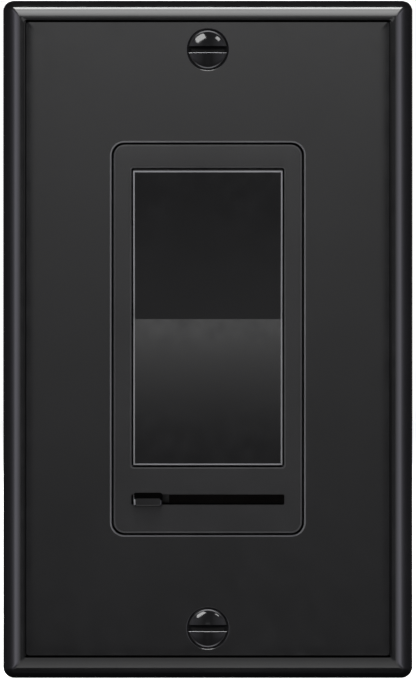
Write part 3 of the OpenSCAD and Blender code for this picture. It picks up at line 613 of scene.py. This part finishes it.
def build_wall_plate():
    """The cover plate with its rolled border, crease, opening, countersinks, bosses and ribs."""
    rings = [plate_ring(FOOT_CHAMFER, 0.0), plate_ring(0.0, -FOOT_CHAMFER)]
    for x, height in arc((0, 0), ROLL_R, 0, ROLL_END, ROLL_STEPS):
        rings.append(plate_ring(ROLL_R - x, BORDER_Y + ROLL_R - height))
    # The border runs into a narrow crease, beyond which a steep step rises to the face
    crease_start = len(rings)
    rings.append(leaning_ring(CREASE - CREASE_HALF - CREASE_BREAK, BORDER_Y, BORDER_LEAN))
    rings.append(plate_ring(CREASE - CREASE_HALF, BORDER_Y + 1.5 * CREASE_BREAK))
    rings.append(plate_ring(CREASE - CREASE_FLOOR_HALF, BORDER_Y + CREASE_DEPTH))
    rings.append(plate_ring(CREASE + CREASE_FLOOR_HALF, BORDER_Y + CREASE_DEPTH))
    crease_end = len(rings)
    rings += [shoulder_ring(step / SHOULDER_STEPS) for step in range(SHOULDER_STEPS + 1)]
    lip_start = len(rings)
    rings += [opening_ring(OPENING_LIP, FACE_Y), opening_ring(LIP_DROP, FACE_Y + LIP_DROP)]
    lip_end = len(rings) - 1
    more, rib_depth = OPENING_RIB
    rings += [opening_ring(0, FACE_Y + rib_depth - 0.1), opening_ring(0.1, FACE_Y + rib_depth)]
    rings += [rounded(OPENING[0] + more, OPENING[1] + more, 3, y) for y in (FACE_Y + rib_depth, INNER_Y)]
    rings += [cavity_ring(-0.3, INNER_Y, 0.7), cavity_ring(0, INNER_Y + 0.3, 1)]
    rings += [cavity_ring(0, -FOOT_CHAMFER, 1), cavity_ring(FOOT_CHAMFER, 0.0, 1 + FOOT_CHAMFER)]

    def finish(span, side):
        """Painted shade, near-black and without reflection, in the crease at the plate's ends, and a painted
        highlight on the opening's lip.
        """
        if crease_start <= span < crease_end and along_ends(side):
            return 2
        return 1 if lip_start <= span < lip_end else 0

    finishes = [PLATE, PLATE_LIP_HIGHLIGHT, PAINTED_SHADE_BLACK]
    plate = solid("moulded_wall_plate", rings, True, finishes, finish)
    boss = [(3.35, INNER_Y - WELD), (3.2, BOSS_Y - FOOT_CHAMFER), (3.05, BOSS_Y)]
    # A small rounded lip leads into the cone of each countersink
    lip = [(COUNTERSINK_R + 0.12 - 0.24 * t, FACE_Y - 0.01 + 0.17 * t * t) for t in (0, 0.35, 0.7, 1)]
    countersink = [(0, FACE_Y - BEYOND), (COUNTERSINK_R + 0.16, FACE_Y - BEYOND)] + lip
    countersink += [(PLATE_HOLE_R, FACE_Y + 1.84), (PLATE_HOLE_R, BEYOND), (0, BEYOND)]
    extras, holes = [], []
    for s in (-1, 1):
        extras.append(turned("boss", boss, (0, s * PLATE_SCREW_Z)))
        holes.append(turned("hole", countersink, (0, s * PLATE_SCREW_Z), FINE_TURN_STEPS))
        left, right = sorted(s * x for x in STIFFENER_X)
        for z in STIFFENERS:
            extras.append(block("rib", (left, INNER_Y - WELD, z - STIFFENER_HALF),
                                (right, STIFFENER_Y, z + STIFFENER_HALF)))
    join(plate, *extras)
    cut(plate, *holes)
    return place(plate, "device", ["wall_plate"], finishes)


# Front frame --------------------------------------------------------------------------------------

FRAME_Y = FACE_Y - 0.4  # depth of the insert's face
INSERT_SIZE = (32.1, 66.2, 1.9)  # width, height and corner radius
INSERT_LIP_W = 0.3
FLANGE_SIZE = (42.0, 75.0, 2.5)
FLANGE_Y = -2.8  # depth of the flange behind the plate
FLANGE_CHAMFER = 0.15
STRAP_Y = -1.3  # depth of the strap, on which the flange lies
PIVOT = Vector((0, -2.4, 3.6))  # middle of the axis that the rocker turns on
WELL_W = 26.0
WELL_R = 25.8  # radius of the well's ends about the pivot
WELL_CORNER_R = 0.35
WELL_LIP_W = 0.26
WELL_DEPTHS = (-2.4, -3.4, -4.4, -5.3)  # depths at which the arcs of the well's ends are drawn
LEDGE_W = 0.8
LEDGE_RISE = 0.25
BEARING_HALF = 3.0
BEARING_BACK = 0.4
BEARING_BORE_R = 1.46
SLIDER_Z = -27.4
SLOT_SIZE = (26.0, 1.7, 0.2)
LEVER_ROOM = (29.2, 6.4, 0.8)  # the room behind the slot
LEVER_ROOM_Y = -4.4
FRAME_SCREW_AT = (18.4, 30.2)
FRAME_SCREW_R = 1.3
FRAME_SCREW_HEAD_R = 2.4


def sized_ring(size, grow, y, middle=0.0):
    """A ring of a (width, height, corner radius), grown by a distance on every side."""
    return rounded(size[0] + 2 * grow, size[1] + 2 * grow, size[2] + grow, y, middle)


def well_ring(grow, y):
    """The rocker's well at depth y, whose ends follow arcs about the pivot."""
    reach = math.sqrt(WELL_R ** 2 - (y - PIVOT.y) ** 2) + grow
    return rounded(WELL_W + 2 * grow, 2 * reach, max(WELL_CORNER_R + grow, 0.1), y, PIVOT.z)


def build_front_frame():
    """The insert, with its hidden flange, the rocker's well and bearings, and the slider's slot."""
    rings = [sized_ring(INSERT_SIZE, -INSERT_LIP_W, FRAME_Y)]
    rings.append(sized_ring(INSERT_SIZE, -LIP_DROP, FRAME_Y + LIP_DROP))
    edge_end = len(rings) - 1
    # The root slopes away, so that the gap round the insert stays dark
    rings += [sized_ring(INSERT_SIZE, 0, FLANGE_Y - 0.6), sized_ring(INSERT_SIZE, 0.45, FLANGE_Y)]
    rings.append(sized_ring(FLANGE_SIZE, -FLANGE_CHAMFER, FLANGE_Y))
    rings.append(sized_ring(FLANGE_SIZE, 0, FLANGE_Y + FLANGE_CHAMFER))
    rings.append(sized_ring(FLANGE_SIZE, 0, STRAP_Y - FLANGE_CHAMFER))
    rings.append(sized_ring(FLANGE_SIZE, -FLANGE_CHAMFER, STRAP_Y))
    # A thin ledge behind the rocker's sides closes the gap beside it
    rings += [well_ring(-LEDGE_W, STRAP_Y), well_ring(0, STRAP_Y - LEDGE_RISE)]
    rings += [well_ring(0, y) for y in WELL_DEPTHS + (FRAME_Y + 0.14,)]
    lip_start = len(rings)
    rings += [well_ring(0, FRAME_Y + LIP_DROP), well_ring(WELL_LIP_W, FRAME_Y)]
    lip_end = len(rings) - 1

    def finish(span, side):
        """A lighter colour on the insert's outer edge and on the well's lip, which adds a painted highlight
        to their real reflection.
        """
        return 1 if span < edge_end or lip_start <= span < lip_end else 0

    piece = solid("moulded_front_frame", rings, True, [INSERT, INSERT_LIP_HIGHLIGHT], finish)
    bearings = []
    for s in (-1, 1):
        left, right = sorted((s * WELL_W / 2, s * INSERT_SIZE[0] / 2))
        bearings.append(block("bearing", (left, STRAP_Y - 0.1, PIVOT.z - BEARING_HALF),
                              (right, BEARING_BACK, PIVOT.z + BEARING_HALF)))
    join(piece, *bearings)
    slot = [sized_ring(SLOT_SIZE, grow, y, SLIDER_Z)
            for grow, y in ((0.06, FRAME_Y - BEYOND), (0.06, FRAME_Y - 0.01), (0.03, FRAME_Y + 0.03),
                            (0.0, FRAME_Y + 0.10), (0.0, LEVER_ROOM_Y + 0.1))]
    tools = [solid("slot", slot), bar_x("bore", BEARING_BORE_R, -15, 15, PIVOT.y, PIVOT.z)]
    tools.append(solid("room", [sized_ring(LEVER_ROOM, 0, y, SLIDER_Z) for y in (LEVER_ROOM_Y, 0)]))
    hole = [(0, FLANGE_Y - BEYOND), (FRAME_SCREW_HEAD_R, FLANGE_Y - BEYOND), (FRAME_SCREW_HEAD_R, FLANGE_Y),
            (FRAME_SCREW_R, FLANGE_Y + FRAME_SCREW_HEAD_R - FRAME_SCREW_R), (FRAME_SCREW_R, 0), (0, 0)]
    for sx in (-1, 1):
        for sz in (-1, 1):
            at = (sx * FRAME_SCREW_AT[0], sz * FRAME_SCREW_AT[1])
            tools.append(turned("hole", hole, at, COARSE_TURN_STEPS))
    cut(piece, *tools)
    return place(piece, "device", ["front_frame"], [INSERT, INSERT_LIP_HIGHLIGHT])


# Rocker -------------------------------------------------------------------------------------------

ROCKER_W = 25.4
ROCKER_TOP_R = 25.62  # radius of the upper end about the pivot
ROCKER_BOTTOM_R = 25.3
ROCKER_TILT = 3.2  # degrees that the upper end leans forward at rest
ROCKER_WALL = 1.8
ROCKER_LIP_W = 0.26
FACE_FORWARD = 2.9  # from the pivot to the crease across the face
FACE_SLOPE_MID = math.tan(math.radians(5.7))
FACE_SLOPE_END = math.tan(math.radians(0.7))
HALF_REACH = 25.2  # from the crease to the ends of the face
END_STEPS = 6
FACE_STEPS = 10
BESIDE_CREASE = 0.1  # where a point on either side of the crease keeps it sharp
BOSS_R = 3.2
BOSS_BORE_R = 2.1
EAR_R = 2.2
TRUNNION_R = 1.4
TRUNNION_LENGTH = 2


def face_depth(z):
    """Distance from the pivot forward to the rocker's face: two shallow curves that meet in a crease."""
    bend = (FACE_SLOPE_MID - FACE_SLOPE_END) / (2 * HALF_REACH)
    return FACE_FORWARD + FACE_SLOPE_MID * abs(z) - bend * z * z


def rocker_side(inset, edge, drop, back):
    """The rocker's outline seen from the side, about its pivot, as (y, z) points from the top back
    corner forward, down the face and back. The face's ends fall away by drop over a length of edge."""
    halves = []
    for radius in (ROCKER_TOP_R - inset, ROCKER_BOTTOM_R - inset):
        corner_z = math.sqrt(radius ** 2 - (face_depth(HALF_REACH) - inset) ** 2)
        corner_y = inset - face_depth(corner_z) + drop
        back_turn = math.degrees(math.acos(back / radius))
        front_turn = math.degrees(math.atan2(corner_z, corner_y))
        half = arc((0, 0), radius, back_turn, front_turn, END_STEPS)[:-1] + [(corner_y, corner_z)]
        inner = corner_z - edge
        for z in [inner * (1 - step / FACE_STEPS) for step in range(FACE_STEPS)] + [BESIDE_CREASE]:
            half.append((inset - face_depth(z), z))
        halves.append(half)
    top, bottom = halves
    return top + [(inset - face_depth(0), 0)] + [(y, -z) for y, z in reversed(bottom)]


def build_rocker():
    """The hollow rocker, with painted highlights on its edges, its boss, and its two trunnions in
    painted-shade black.
    """
    half = ROCKER_W / 2
    rings = []
    inner = half - ROCKER_LIP_W
    for x, inset in ((-half, LIP_DROP), (-inner, 0.0), (inner, 0.0), (half, LIP_DROP)):
        rings.append([Vector((x, y, z)) for y, z in rocker_side(inset, ROCKER_LIP_W, LIP_DROP, -0.6)])
    face_start = END_STEPS
    face_end = len(rings[0]) - END_STEPS - 2

    def finish(span, side):
        """A painted highlight on the face's four edges, which are its first and last spans and sides."""
        on_face = face_start <= side <= face_end
        return 1 if on_face and (span != 1 or side in (face_start, face_end)) else 0

    finishes = [ROCKER, ROCKER_LIP_HIGHLIGHT, PAINTED_SHADE_BLACK]
    piece = solid("moulded_rocker", rings, False, finishes, finish)
    hollow = [[Vector((x, y, z)) for y, z in rocker_side(ROCKER_WALL, 0.4, 0.1, 0.0)]
              for x in (ROCKER_WALL - half, half - ROCKER_WALL)]
    cut(piece, solid("hollow", hollow))
    extras = [turned("boss", [(BOSS_R, -1.4), (BOSS_R, 6.8), (BOSS_R - 0.2, 7.0)])]
    for s in (-1, 1):
        wall = sorted((s * (half - ROCKER_WALL), s * half))
        pin = sorted((s * (half - 0.1), s * (half + TRUNNION_LENGTH)))
        extras.append(bar_x("ear", EAR_R, *wall, 0, 0))
        # The trunnions take the last finish, the painted shade
        extras.append(bar_x("trunnion", TRUNNION_R, *pin, 0, 0, finishes))
    join(piece, *extras)
    cut(piece, turned("bore", [(BOSS_BORE_R, -0.9), (BOSS_BORE_R, 7 + BEYOND)]))
    piece.data.transform(Matrix.Translation(PIVOT) @ Matrix.Rotation(math.radians(ROCKER_TILT), 4, "X"))
    return place(piece, "paddle", ["rocker"], finishes)


# Slider knob --------------------------------------------------------------------------------------

KNOB_CORNER_R = 0.45
KNOB_LEAN = 0.05  # how much deeper the face's lower edge lies than its upper edge
SOCKET_HALF = (1.52, 0.47)  # half the width and height of the lever's socket
# Depth from the front, how far the top has sloped down, and how far the sides draw in
KNOB_STEPS = [(1.4, 0.0, 0.0), (1.25, 0.0, 0.0), (1.05, 0.06, 0.0), (0.55, 0.46, 0.02),
              (0.22, 0.74, 0.07), (0.08, 0.86, 0.16), (0.0, 0.98, 0.32)]


def build_slider_knob():
    """The knob, with painted shade on its sloping top and a painted highlight on its left edge."""
    low, high = node_box("slider_knob")
    width, height = high.x - low.x, high.z - low.z
    side, middle = (low.x + high.x) / 2, (low.z + high.z) / 2
    rings = []
    for depth, slope, draw in KNOB_STEPS:
        ring = rounded(width - 2 * draw, height - slope - draw, KNOB_CORNER_R - draw / 2,
                       low.y + depth, middle - (slope - draw) / 2, side)
        for point in ring:
            point.y += KNOB_LEAN * max(0.0, 1 - depth) * (high.z - slope - point.z) / height
        rings.append(ring)
    top_end = 2 * CORNER_STEPS - 2
    left_end = top_end + 6

    def finish(span, side):
        """Painted shade on the top, a painted highlight on the left, and plain elsewhere."""
        if span < 1 or side > left_end:
            return 0
        return 1 if side <= top_end else 2

    finishes = [KNOB, PAINTED_SHADE_BLACK, ROCKER_LIP_HIGHLIGHT]
    knob = solid("moulded_slider_knob", rings, False, finishes, finish)
    half_w, half_h = SOCKET_HALF
    cut(knob, block("socket", (side - half_w, low.y + 0.58, middle - half_h),
                    (side + half_w, high.y + BEYOND, middle + half_h)))
    return place(knob, "slider", ["slider_knob"], finishes)


# Screws -------------------------------------------------------------------------------------------

THREAD_R = 1.75
THREAD_PITCH = 0.794
THREAD_DEPTH = 0.28
RINGS_PER_TURN = 6
TIP_SHARE = 0.72  # the tip's radius as a share of the thread's
TIP_LENGTH = 0.6
SCREW_SLOT_HALF = 0.55
SCREW_SLOT_REACH = 5
UPPER_LIP_W = 0.1
LOWER_LIP_W = 0.16
ON_LIP = 1e-3  # how near to a slot's side a point on its lip is
LIP_DEPTH = 0.1  # how far above the slot's floor every such point is
OVAL_HEAD_R = 3.45
OVAL_DOME = 0.55  # height of the dome above the rim
OVAL_DOME_R = 3.02  # radius at which the dome meets the worn rim
OVAL_RIM_Y = FACE_Y + 0.15
DOME_STEPS = 9
PAN_HEAD_R = 3.3
PAN_SIDE = 0.45  # share of the pan head's height that its side takes
PAN_STEPS = 6
BOX_SCREW_Z = 83.34 / 2
BOX_SCREW_NECK_R = 1.5


def thread_rings(start, end, at):
    """Rings of a threaded length along Y, from start to end, with a tapered tip."""
    count = max(2, round((end - start) / THREAD_PITCH * RINGS_PER_TURN))
    rings = []
    for step in range(count + 1):
        y = start + (end - start) * step / count
        taper = min(1.0, TIP_SHARE + (1 - TIP_SHARE) * (end - y) / TIP_LENGTH)
        ring = []
        for side in range(TURN_STEPS):
            turn = 2 * PI * side / TURN_STEPS
            phase = ((y - start) / THREAD_PITCH - side / TURN_STEPS) % 1.0
            groove = abs(2 * phase - 1)
            r = THREAD_R * taper - THREAD_DEPTH * groove * min(1.0, (y - start) / THREAD_PITCH)
            ring.append(Vector((at[0] + r * math.cos(turn), y, at[1] + r * math.sin(turn))))
        rings.append(ring)
    return rings


def screw_slot(piece, at, top, floor, finishes=(), material=-1):
    """Cuts a straight slot along X across a screw's head and rounds its lips."""
    half = SCREW_SLOT_HALF
    cut(piece, block("slot", (-SCREW_SLOT_REACH, top - BEYOND, at[1] - half),
                     (SCREW_SLOT_REACH, floor, at[1] + half), finishes))
    for side, width, number in ((1, UPPER_LIP_W, -1), (-1, LOWER_LIP_W, material)):

        def on_lip(point):
            """Whether a point is on the slot's lip on this side."""
            return abs(point.z - at[1] - side * half) < ON_LIP and point.y < floor - LIP_DEPTH

        soften_edges(piece, width, on_lip, number)
    return piece


def merged(name, pieces):
    """Several separate solids as one piece, with the first one's materials."""
    mesh = bmesh.new()
    finishes = list(pieces[0].data.materials)
    for piece in pieces:
        mesh.from_mesh(piece.data)
        bpy.data.objects.remove(piece)
    return piece_of(name, mesh, finishes)


def build_plate_screws():
    """Oval head machine screws, painted black, with painted highlights on the rim and on the slot's lower
    lip, and painted shade on the slot's floor.
    """
    low, high = node_box("plate_screws")
    ball_r = (OVAL_HEAD_R ** 2 + OVAL_DOME ** 2) / (2 * OVAL_DOME)
    ball_y = OVAL_RIM_Y - OVAL_DOME + ball_r

    def finish(span, side):
        """The painted highlight arcs go on the span just outside the dome."""
        return 1 if span == DOME_STEPS else 0

    made = []
    for s in (-1, 1):
        at = (0, s * PLATE_SCREW_Z)
        rings = []
        for step in range(DOME_STEPS + 1):
            r = max(TINY, OVAL_DOME_R * step / DOME_STEPS)
            rings.append(circle(r, ball_y - math.sqrt(ball_r ** 2 - r * r), at))
        for r, depth in ((3.22, 0.0), (3.25, 0.12), (OVAL_HEAD_R, 0.3), (THREAD_R + 0.02, 1.93)):
            rings.append(circle(r, OVAL_RIM_Y + depth, at))
        rings += thread_rings(OVAL_RIM_Y + 1.96, high.y, at)
        screw = solid("screw", rings, False, OVAL_HEAD_FINISHES, finish)
        # The slot's floor takes the painted shade and its lower lip the painted highlight
        made.append(screw_slot(screw, at, low.y, OVAL_RIM_Y + 0.75, OVAL_HEAD_FINISHES, 2))
    screws = merged("oval_head_screws", made)
    return place(screws, "device", ["plate_screws"], OVAL_HEAD_FINISHES)


def build_box_screws():
    """Pan head machine screws that fix the strap to the wall box."""
    low, high = node_box("box_screws")
    head_h = STRAP_Y - low.y
    made = []
    for s in (-1, 1):
        at = (0, s * BOX_SCREW_Z)
        rings = []
        for step in range(PAN_STEPS + 1):
            slant = (1 - step / PAN_STEPS) * PI / 2
            rings.append(circle(max(TINY, PAN_HEAD_R * math.cos(slant)),
                                STRAP_Y - head_h * (PAN_SIDE + (1 - PAN_SIDE) * math.sin(slant)), at))
        for r, y in ((PAN_HEAD_R, STRAP_Y - 0.1), (PAN_HEAD_R - 0.1, STRAP_Y), (BOX_SCREW_NECK_R, STRAP_Y),
                     (BOX_SCREW_NECK_R, 0.45)):
            rings.append(circle(r, y, at))
        rings += thread_rings(0.47, high.y, at)
        made.append(screw_slot(solid("screw", rings), at, low.y, low.y + 1.1))
    return place(merged("pan_head_screws", made), "device", ["box_screws"],
                 [FINISHES["zinc_steel"]])


# Studio -------------------------------------------------------------------------------------------


def toward(azimuth, elevation):
    """Unit vector from the object towards a light. Azimuth 0 is straight out of the face, and a
    positive azimuth is to the viewer's right."""
    a, e = math.radians(azimuth), math.radians(elevation)
    return Vector((math.sin(a) * math.cos(e), -math.cos(a) * math.cos(e), math.sin(e)))


RADIANCE_PER_WATT = 0.37  # what a softbox of one square metre shows for each watt
CARD_DISTANCE = 1.5
WINDOW_DISTANCE = 6.0


def softbox(name, azimuth, elevation, width, height, levels, distance=CARD_DISTANCE, roll=0.0,
            spared=(), shown=()):
    """A rectangular softbox of an angular width and height. levels are (elevation, radiance) pairs
    from its lower edge to its upper edge, or one pair for an even card, whose elevation isn't used.
    Spared pieces don't see it, or only the shown ones do."""
    light = bpy.data.lights.new(name, "AREA")
    light.shape = "RECTANGLE"
    light.size = 2 * distance * math.tan(math.radians(width / 2))
    light.size_y = 2 * distance * math.tan(math.radians(height / 2))
    light.energy = light.size * light.size_y / RADIANCE_PER_WATT
    tree = Tree(light)
    strength = tree.nodes["Emission"].inputs["Strength"]
    lamp = bpy.data.objects.new(name, light)
    bpy.context.scene.collection.objects.link(lamp)
    out = toward(azimuth, elevation)
    lamp.location = out * distance
    lamp.rotation_mode = "QUATERNION"
    aim = (-out).to_track_quat("-Z", "Y")
    lamp.rotation_quaternion = aim @ Matrix.Rotation(math.radians(roll), 3, "Z").to_quaternion()
    lamp.visible_camera = False
    if len(levels) == 1:
        strength.default_value = levels[0][1]
    else:

        def rise(angle):
            """Height of the point on the card that the object sees at an elevation."""
            centre = math.radians(elevation)
            up_card = math.tan(math.radians(angle - elevation))
            return distance * (math.sin(centre) + up_card * math.cos(centre))

        low, high = rise(levels[0][0]), rise(levels[-1][0])
        height = tree.split(tree.node("ShaderNodeNewGeometry").outputs["Position"])["Z"]
        ramp = tree.node("ShaderNodeValToRGB")
        tree.fill(ramp.inputs["Fac"], tree.span(height, 0, 1, low, high))
        peak = max(level for _, level in levels)
        stops = ramp.color_ramp.elements
        for number, (angle, level) in enumerate(levels):
            share = (rise(angle) - low) / (high - low)
            stop = stops[0] if number == 0 else stops[-1] if number == len(levels) - 1 else stops.new(share)
            stop.color = (level / peak,) * 3 + (1,)
        tree.fill(strength, tree.compute("MULTIPLY", ramp.outputs["Color"], peak))
    if spared or shown:
        group = bpy.data.collections.new(name + "_receivers")
        lamp.light_linking.receiver_collection = group
        for piece in spared or shown:
            group.objects.link(piece)
        for entry in group.collection_objects:
            entry.light_linking.link_state = "EXCLUDE" if spared else "INCLUDE"


def curve_of(tree, value, points):
    """A smooth curve through (x, y) points, none of them below 0."""
    low, high = points[0][0], points[-1][0]
    peak = max(y for _, y in points)
    share = tree.compute("DIVIDE", tree.compute("SUBTRACT", value, low), high - low)
    share.node.use_clamp = True
    made = tree.node("ShaderNodeFloatCurve", value=share)
    curve = made.mapping.curves[0]
    while len(curve.points) < len(points):
        curve.points.new(0.5, 0.5)
    for point, (x, y) in zip(curve.points, points):
        point.location = ((x - low) / (high - low), y / peak)
        point.handle_type = "AUTO_CLAMPED"
    made.mapping.update()
    return tree.compute("MULTIPLY", made.outputs[0], peak)


# Radiance of the room round the horizon, by angle from straight in front
ROOM = [(0, 0.04), (6, 0.05), (8, 0.3), (12.4, 0.98), (18.6, 1.6), (25, 2.1), (31, 2.5), (37.5, 2.8),
        (44, 2.15), (50.6, 1.15), (57.4, 0.7), (64.4, 0.42), (72, 0.26), (79, 0.17), (90, 0.13),
        (105, 0.08), (130, 0.05), (155, 0.03), (180, 0.02)]
# Radiance straight in front of the face, by elevation
FRONT = [(-24, 0.2), (-20, 0.3), (-16, 0.27), (-12, 0.2), (-9, 0.09), (-6, 0.08), (-3.5, 0.16), (-2, 0.33),
         (0, 0.60), (2, 0.93), (3.3, 1.24), (3.9, 1.65), (4.6, 2.3), (6, 2.3), (7, 1.3), (8, 0.6), (9, 0.35),
         (11, 0.3), (15, 0.0)]
# How much of the room's radiance is left above and below the horizon, by angle from it
ROOM_BAND = [(0, 1), (12, 1), (24, 0.35), (45, 0.1), (90, 0.05)]
# How much of the front's radiance is left, by angle from straight in front
FRONT_WIDTH = [(0, 1), (2.6, 1), (3.6, 0.5), (5, 0.12), (7, 0)]
# How far the light has turned faintly violet, by angle from straight in front
VIOLET = [(0, 0), (8, 0), (20, 1), (180, 1)]


def studio_world():
    """A pale backdrop for the camera, and for everything else a dim room that is brighter at the sides
    and has a soft vertical gradient straight in front."""
    world = bpy.data.worlds.new("studio")
    bpy.context.scene.world = world
    tree = Tree(world)
    tree.nodes.clear()
    x, y, z = tree.split(tree.node("ShaderNodeTexCoord").outputs["Generated"])
    turn = tree.compute("ARCTAN2", x, tree.compute("MULTIPLY", y, -1.0))
    azimuth = tree.compute("MULTIPLY", tree.compute("ABSOLUTE", turn), 180 / PI)
    elevation = tree.compute("MULTIPLY", tree.compute("ARCSINE", z), 180 / PI)
    room = curve_of(tree, azimuth, ROOM)
    band = curve_of(tree, tree.compute("ABSOLUTE", elevation), ROOM_BAND)
    front = curve_of(tree, elevation, FRONT)
    inside = curve_of(tree, azimuth, FRONT_WIDTH)
    total = tree.compute("MULTIPLY_ADD", room, band, tree.compute("MULTIPLY", front, inside))
    tint = tree.blend(curve_of(tree, azimuth, VIOLET), (0.8, 0.8, 0.8), (0.8, 0.785, 0.895))
    light = tree.node("ShaderNodeBackground", color=tint, strength=total)
    backdrop = tree.node("ShaderNodeBackground", color=(1, 1, 1, 1))
    seen = tree.node("ShaderNodeLightPath").outputs["Is Camera Ray"]
    mix = tree.node("ShaderNodeMixShader")
    for socket, source in zip(mix.inputs, (seen, light.outputs[0], backdrop.outputs[0])):
        tree.fill(socket, source)
    tree.node("ShaderNodeOutputWorld", surface=mix.outputs[0])


def build_lights(screws, rocker, plate):
    """Two cards above and one below for the face, two windows for the screws, and three lights behind."""
    softbox("high_card", 0, 35.5, 30, 45, [(13, 1.6), (15.5, 2.9), (18.5, 4.1), (24.6, 5.8), (30.8, 6.8),
                                           (37, 8.0), (43.5, 8.7), (50, 7.2), (58, 8.0)], spared=screws)
    softbox("top_strip", 0, 64, 30, 13, [(57.5, 9), (60, 14), (63, 21), (70.5, 25)])
    softbox("low_card", 0, -31, 30, 44, [(-53, 1.9), (-50, 1.6), (-38, 1.3), (-28, 1.1), (-17, 0.9),
                                         (-9, 0.7)], spared=screws + [rocker])
    softbox("left_window", -16.5, 26.5, 18, 17, [(0, 56)], distance=WINDOW_DISTANCE, roll=36, shown=screws)
    softbox("right_window", 20.5, 24, 9, 8, [(0, 52)], distance=WINDOW_DISTANCE, roll=45, shown=screws)
    softbox("rear_key", 180, 25, 34, 34, [(0, 5.0)])
    softbox("rear_left", -135, 27, 38, 38, [(0, 5.0)], spared=[plate])
    softbox("rear_right", 135, 27, 38, 38, [(0, 5.0)], spared=[plate])


FLOOR_HALF = 3000
FLOOR_THICKNESS = 20
FLOOR_GLOW = 0.85


def build_floor():
    """A plain pale floor under the plate's lower edge."""
    top = cad_low.z / MM
    floor = block("floor", (-FLOOR_HALF, -FLOOR_HALF, top - FLOOR_THICKNESS), (FLOOR_HALF, FLOOR_HALF, top))
    floor.data.transform(Matrix.Scale(MM, 4))
    graph = Graph("pale_floor")
    cloud = graph.span(graph.noise(graph.place(), 0.01, 3.0), 0.0, 1.0)
    graph.surface(Base_Color=graph.blend(cloud, (0.80, 0.80, 0.80), (0.84, 0.84, 0.84)), Roughness=0.8,
                  Emission_Color=(1, 1, 1, 1), Emission_Strength=FLOOR_GLOW)
    floor.data.materials.append(graph.material)
    floor.visible_glossy = False
    floor.visible_diffuse = False
    floor.visible_shadow = False


CAMERA_DISTANCE = 0.95  # from the plate's outline, in metres
VIEW_HEIGHT = 0.11652  # height of the picture at the outline, in metres
CAMERA_OFF = (0.00003, -0.00020)  # how far right of and above the plate's middle the camera stands
OUTLINE_Y = -1.0  # depth at which the plate's outline is seen


def build_camera():
    """A long lens, level with the plate and straight in front of it."""
    data = bpy.data.cameras.new("camera")
    data.lens = data.sensor_width * CAMERA_DISTANCE / VIEW_HEIGHT
    data.clip_start, data.clip_end = 0.01, 50
    camera = bpy.data.objects.new("camera", data)
    bpy.context.scene.collection.objects.link(camera)
    camera.location = (CAMERA_OFF[0], OUTLINE_Y * MM - CAMERA_DISTANCE, CAMERA_OFF[1])
    camera.rotation_euler = (PI / 2, 0, 0)
    bpy.context.scene.camera = camera


bpy.context.scene.view_settings.view_transform = "Standard"
build_camera()
dress_cad_nodes()
wall_plate = build_wall_plate()
build_front_frame()
rocker = build_rocker()
build_slider_knob()
plate_screws = build_plate_screws()
build_box_screws()
studio_world()
build_lights([plate_screws], rocker, wall_plate)
build_floor()
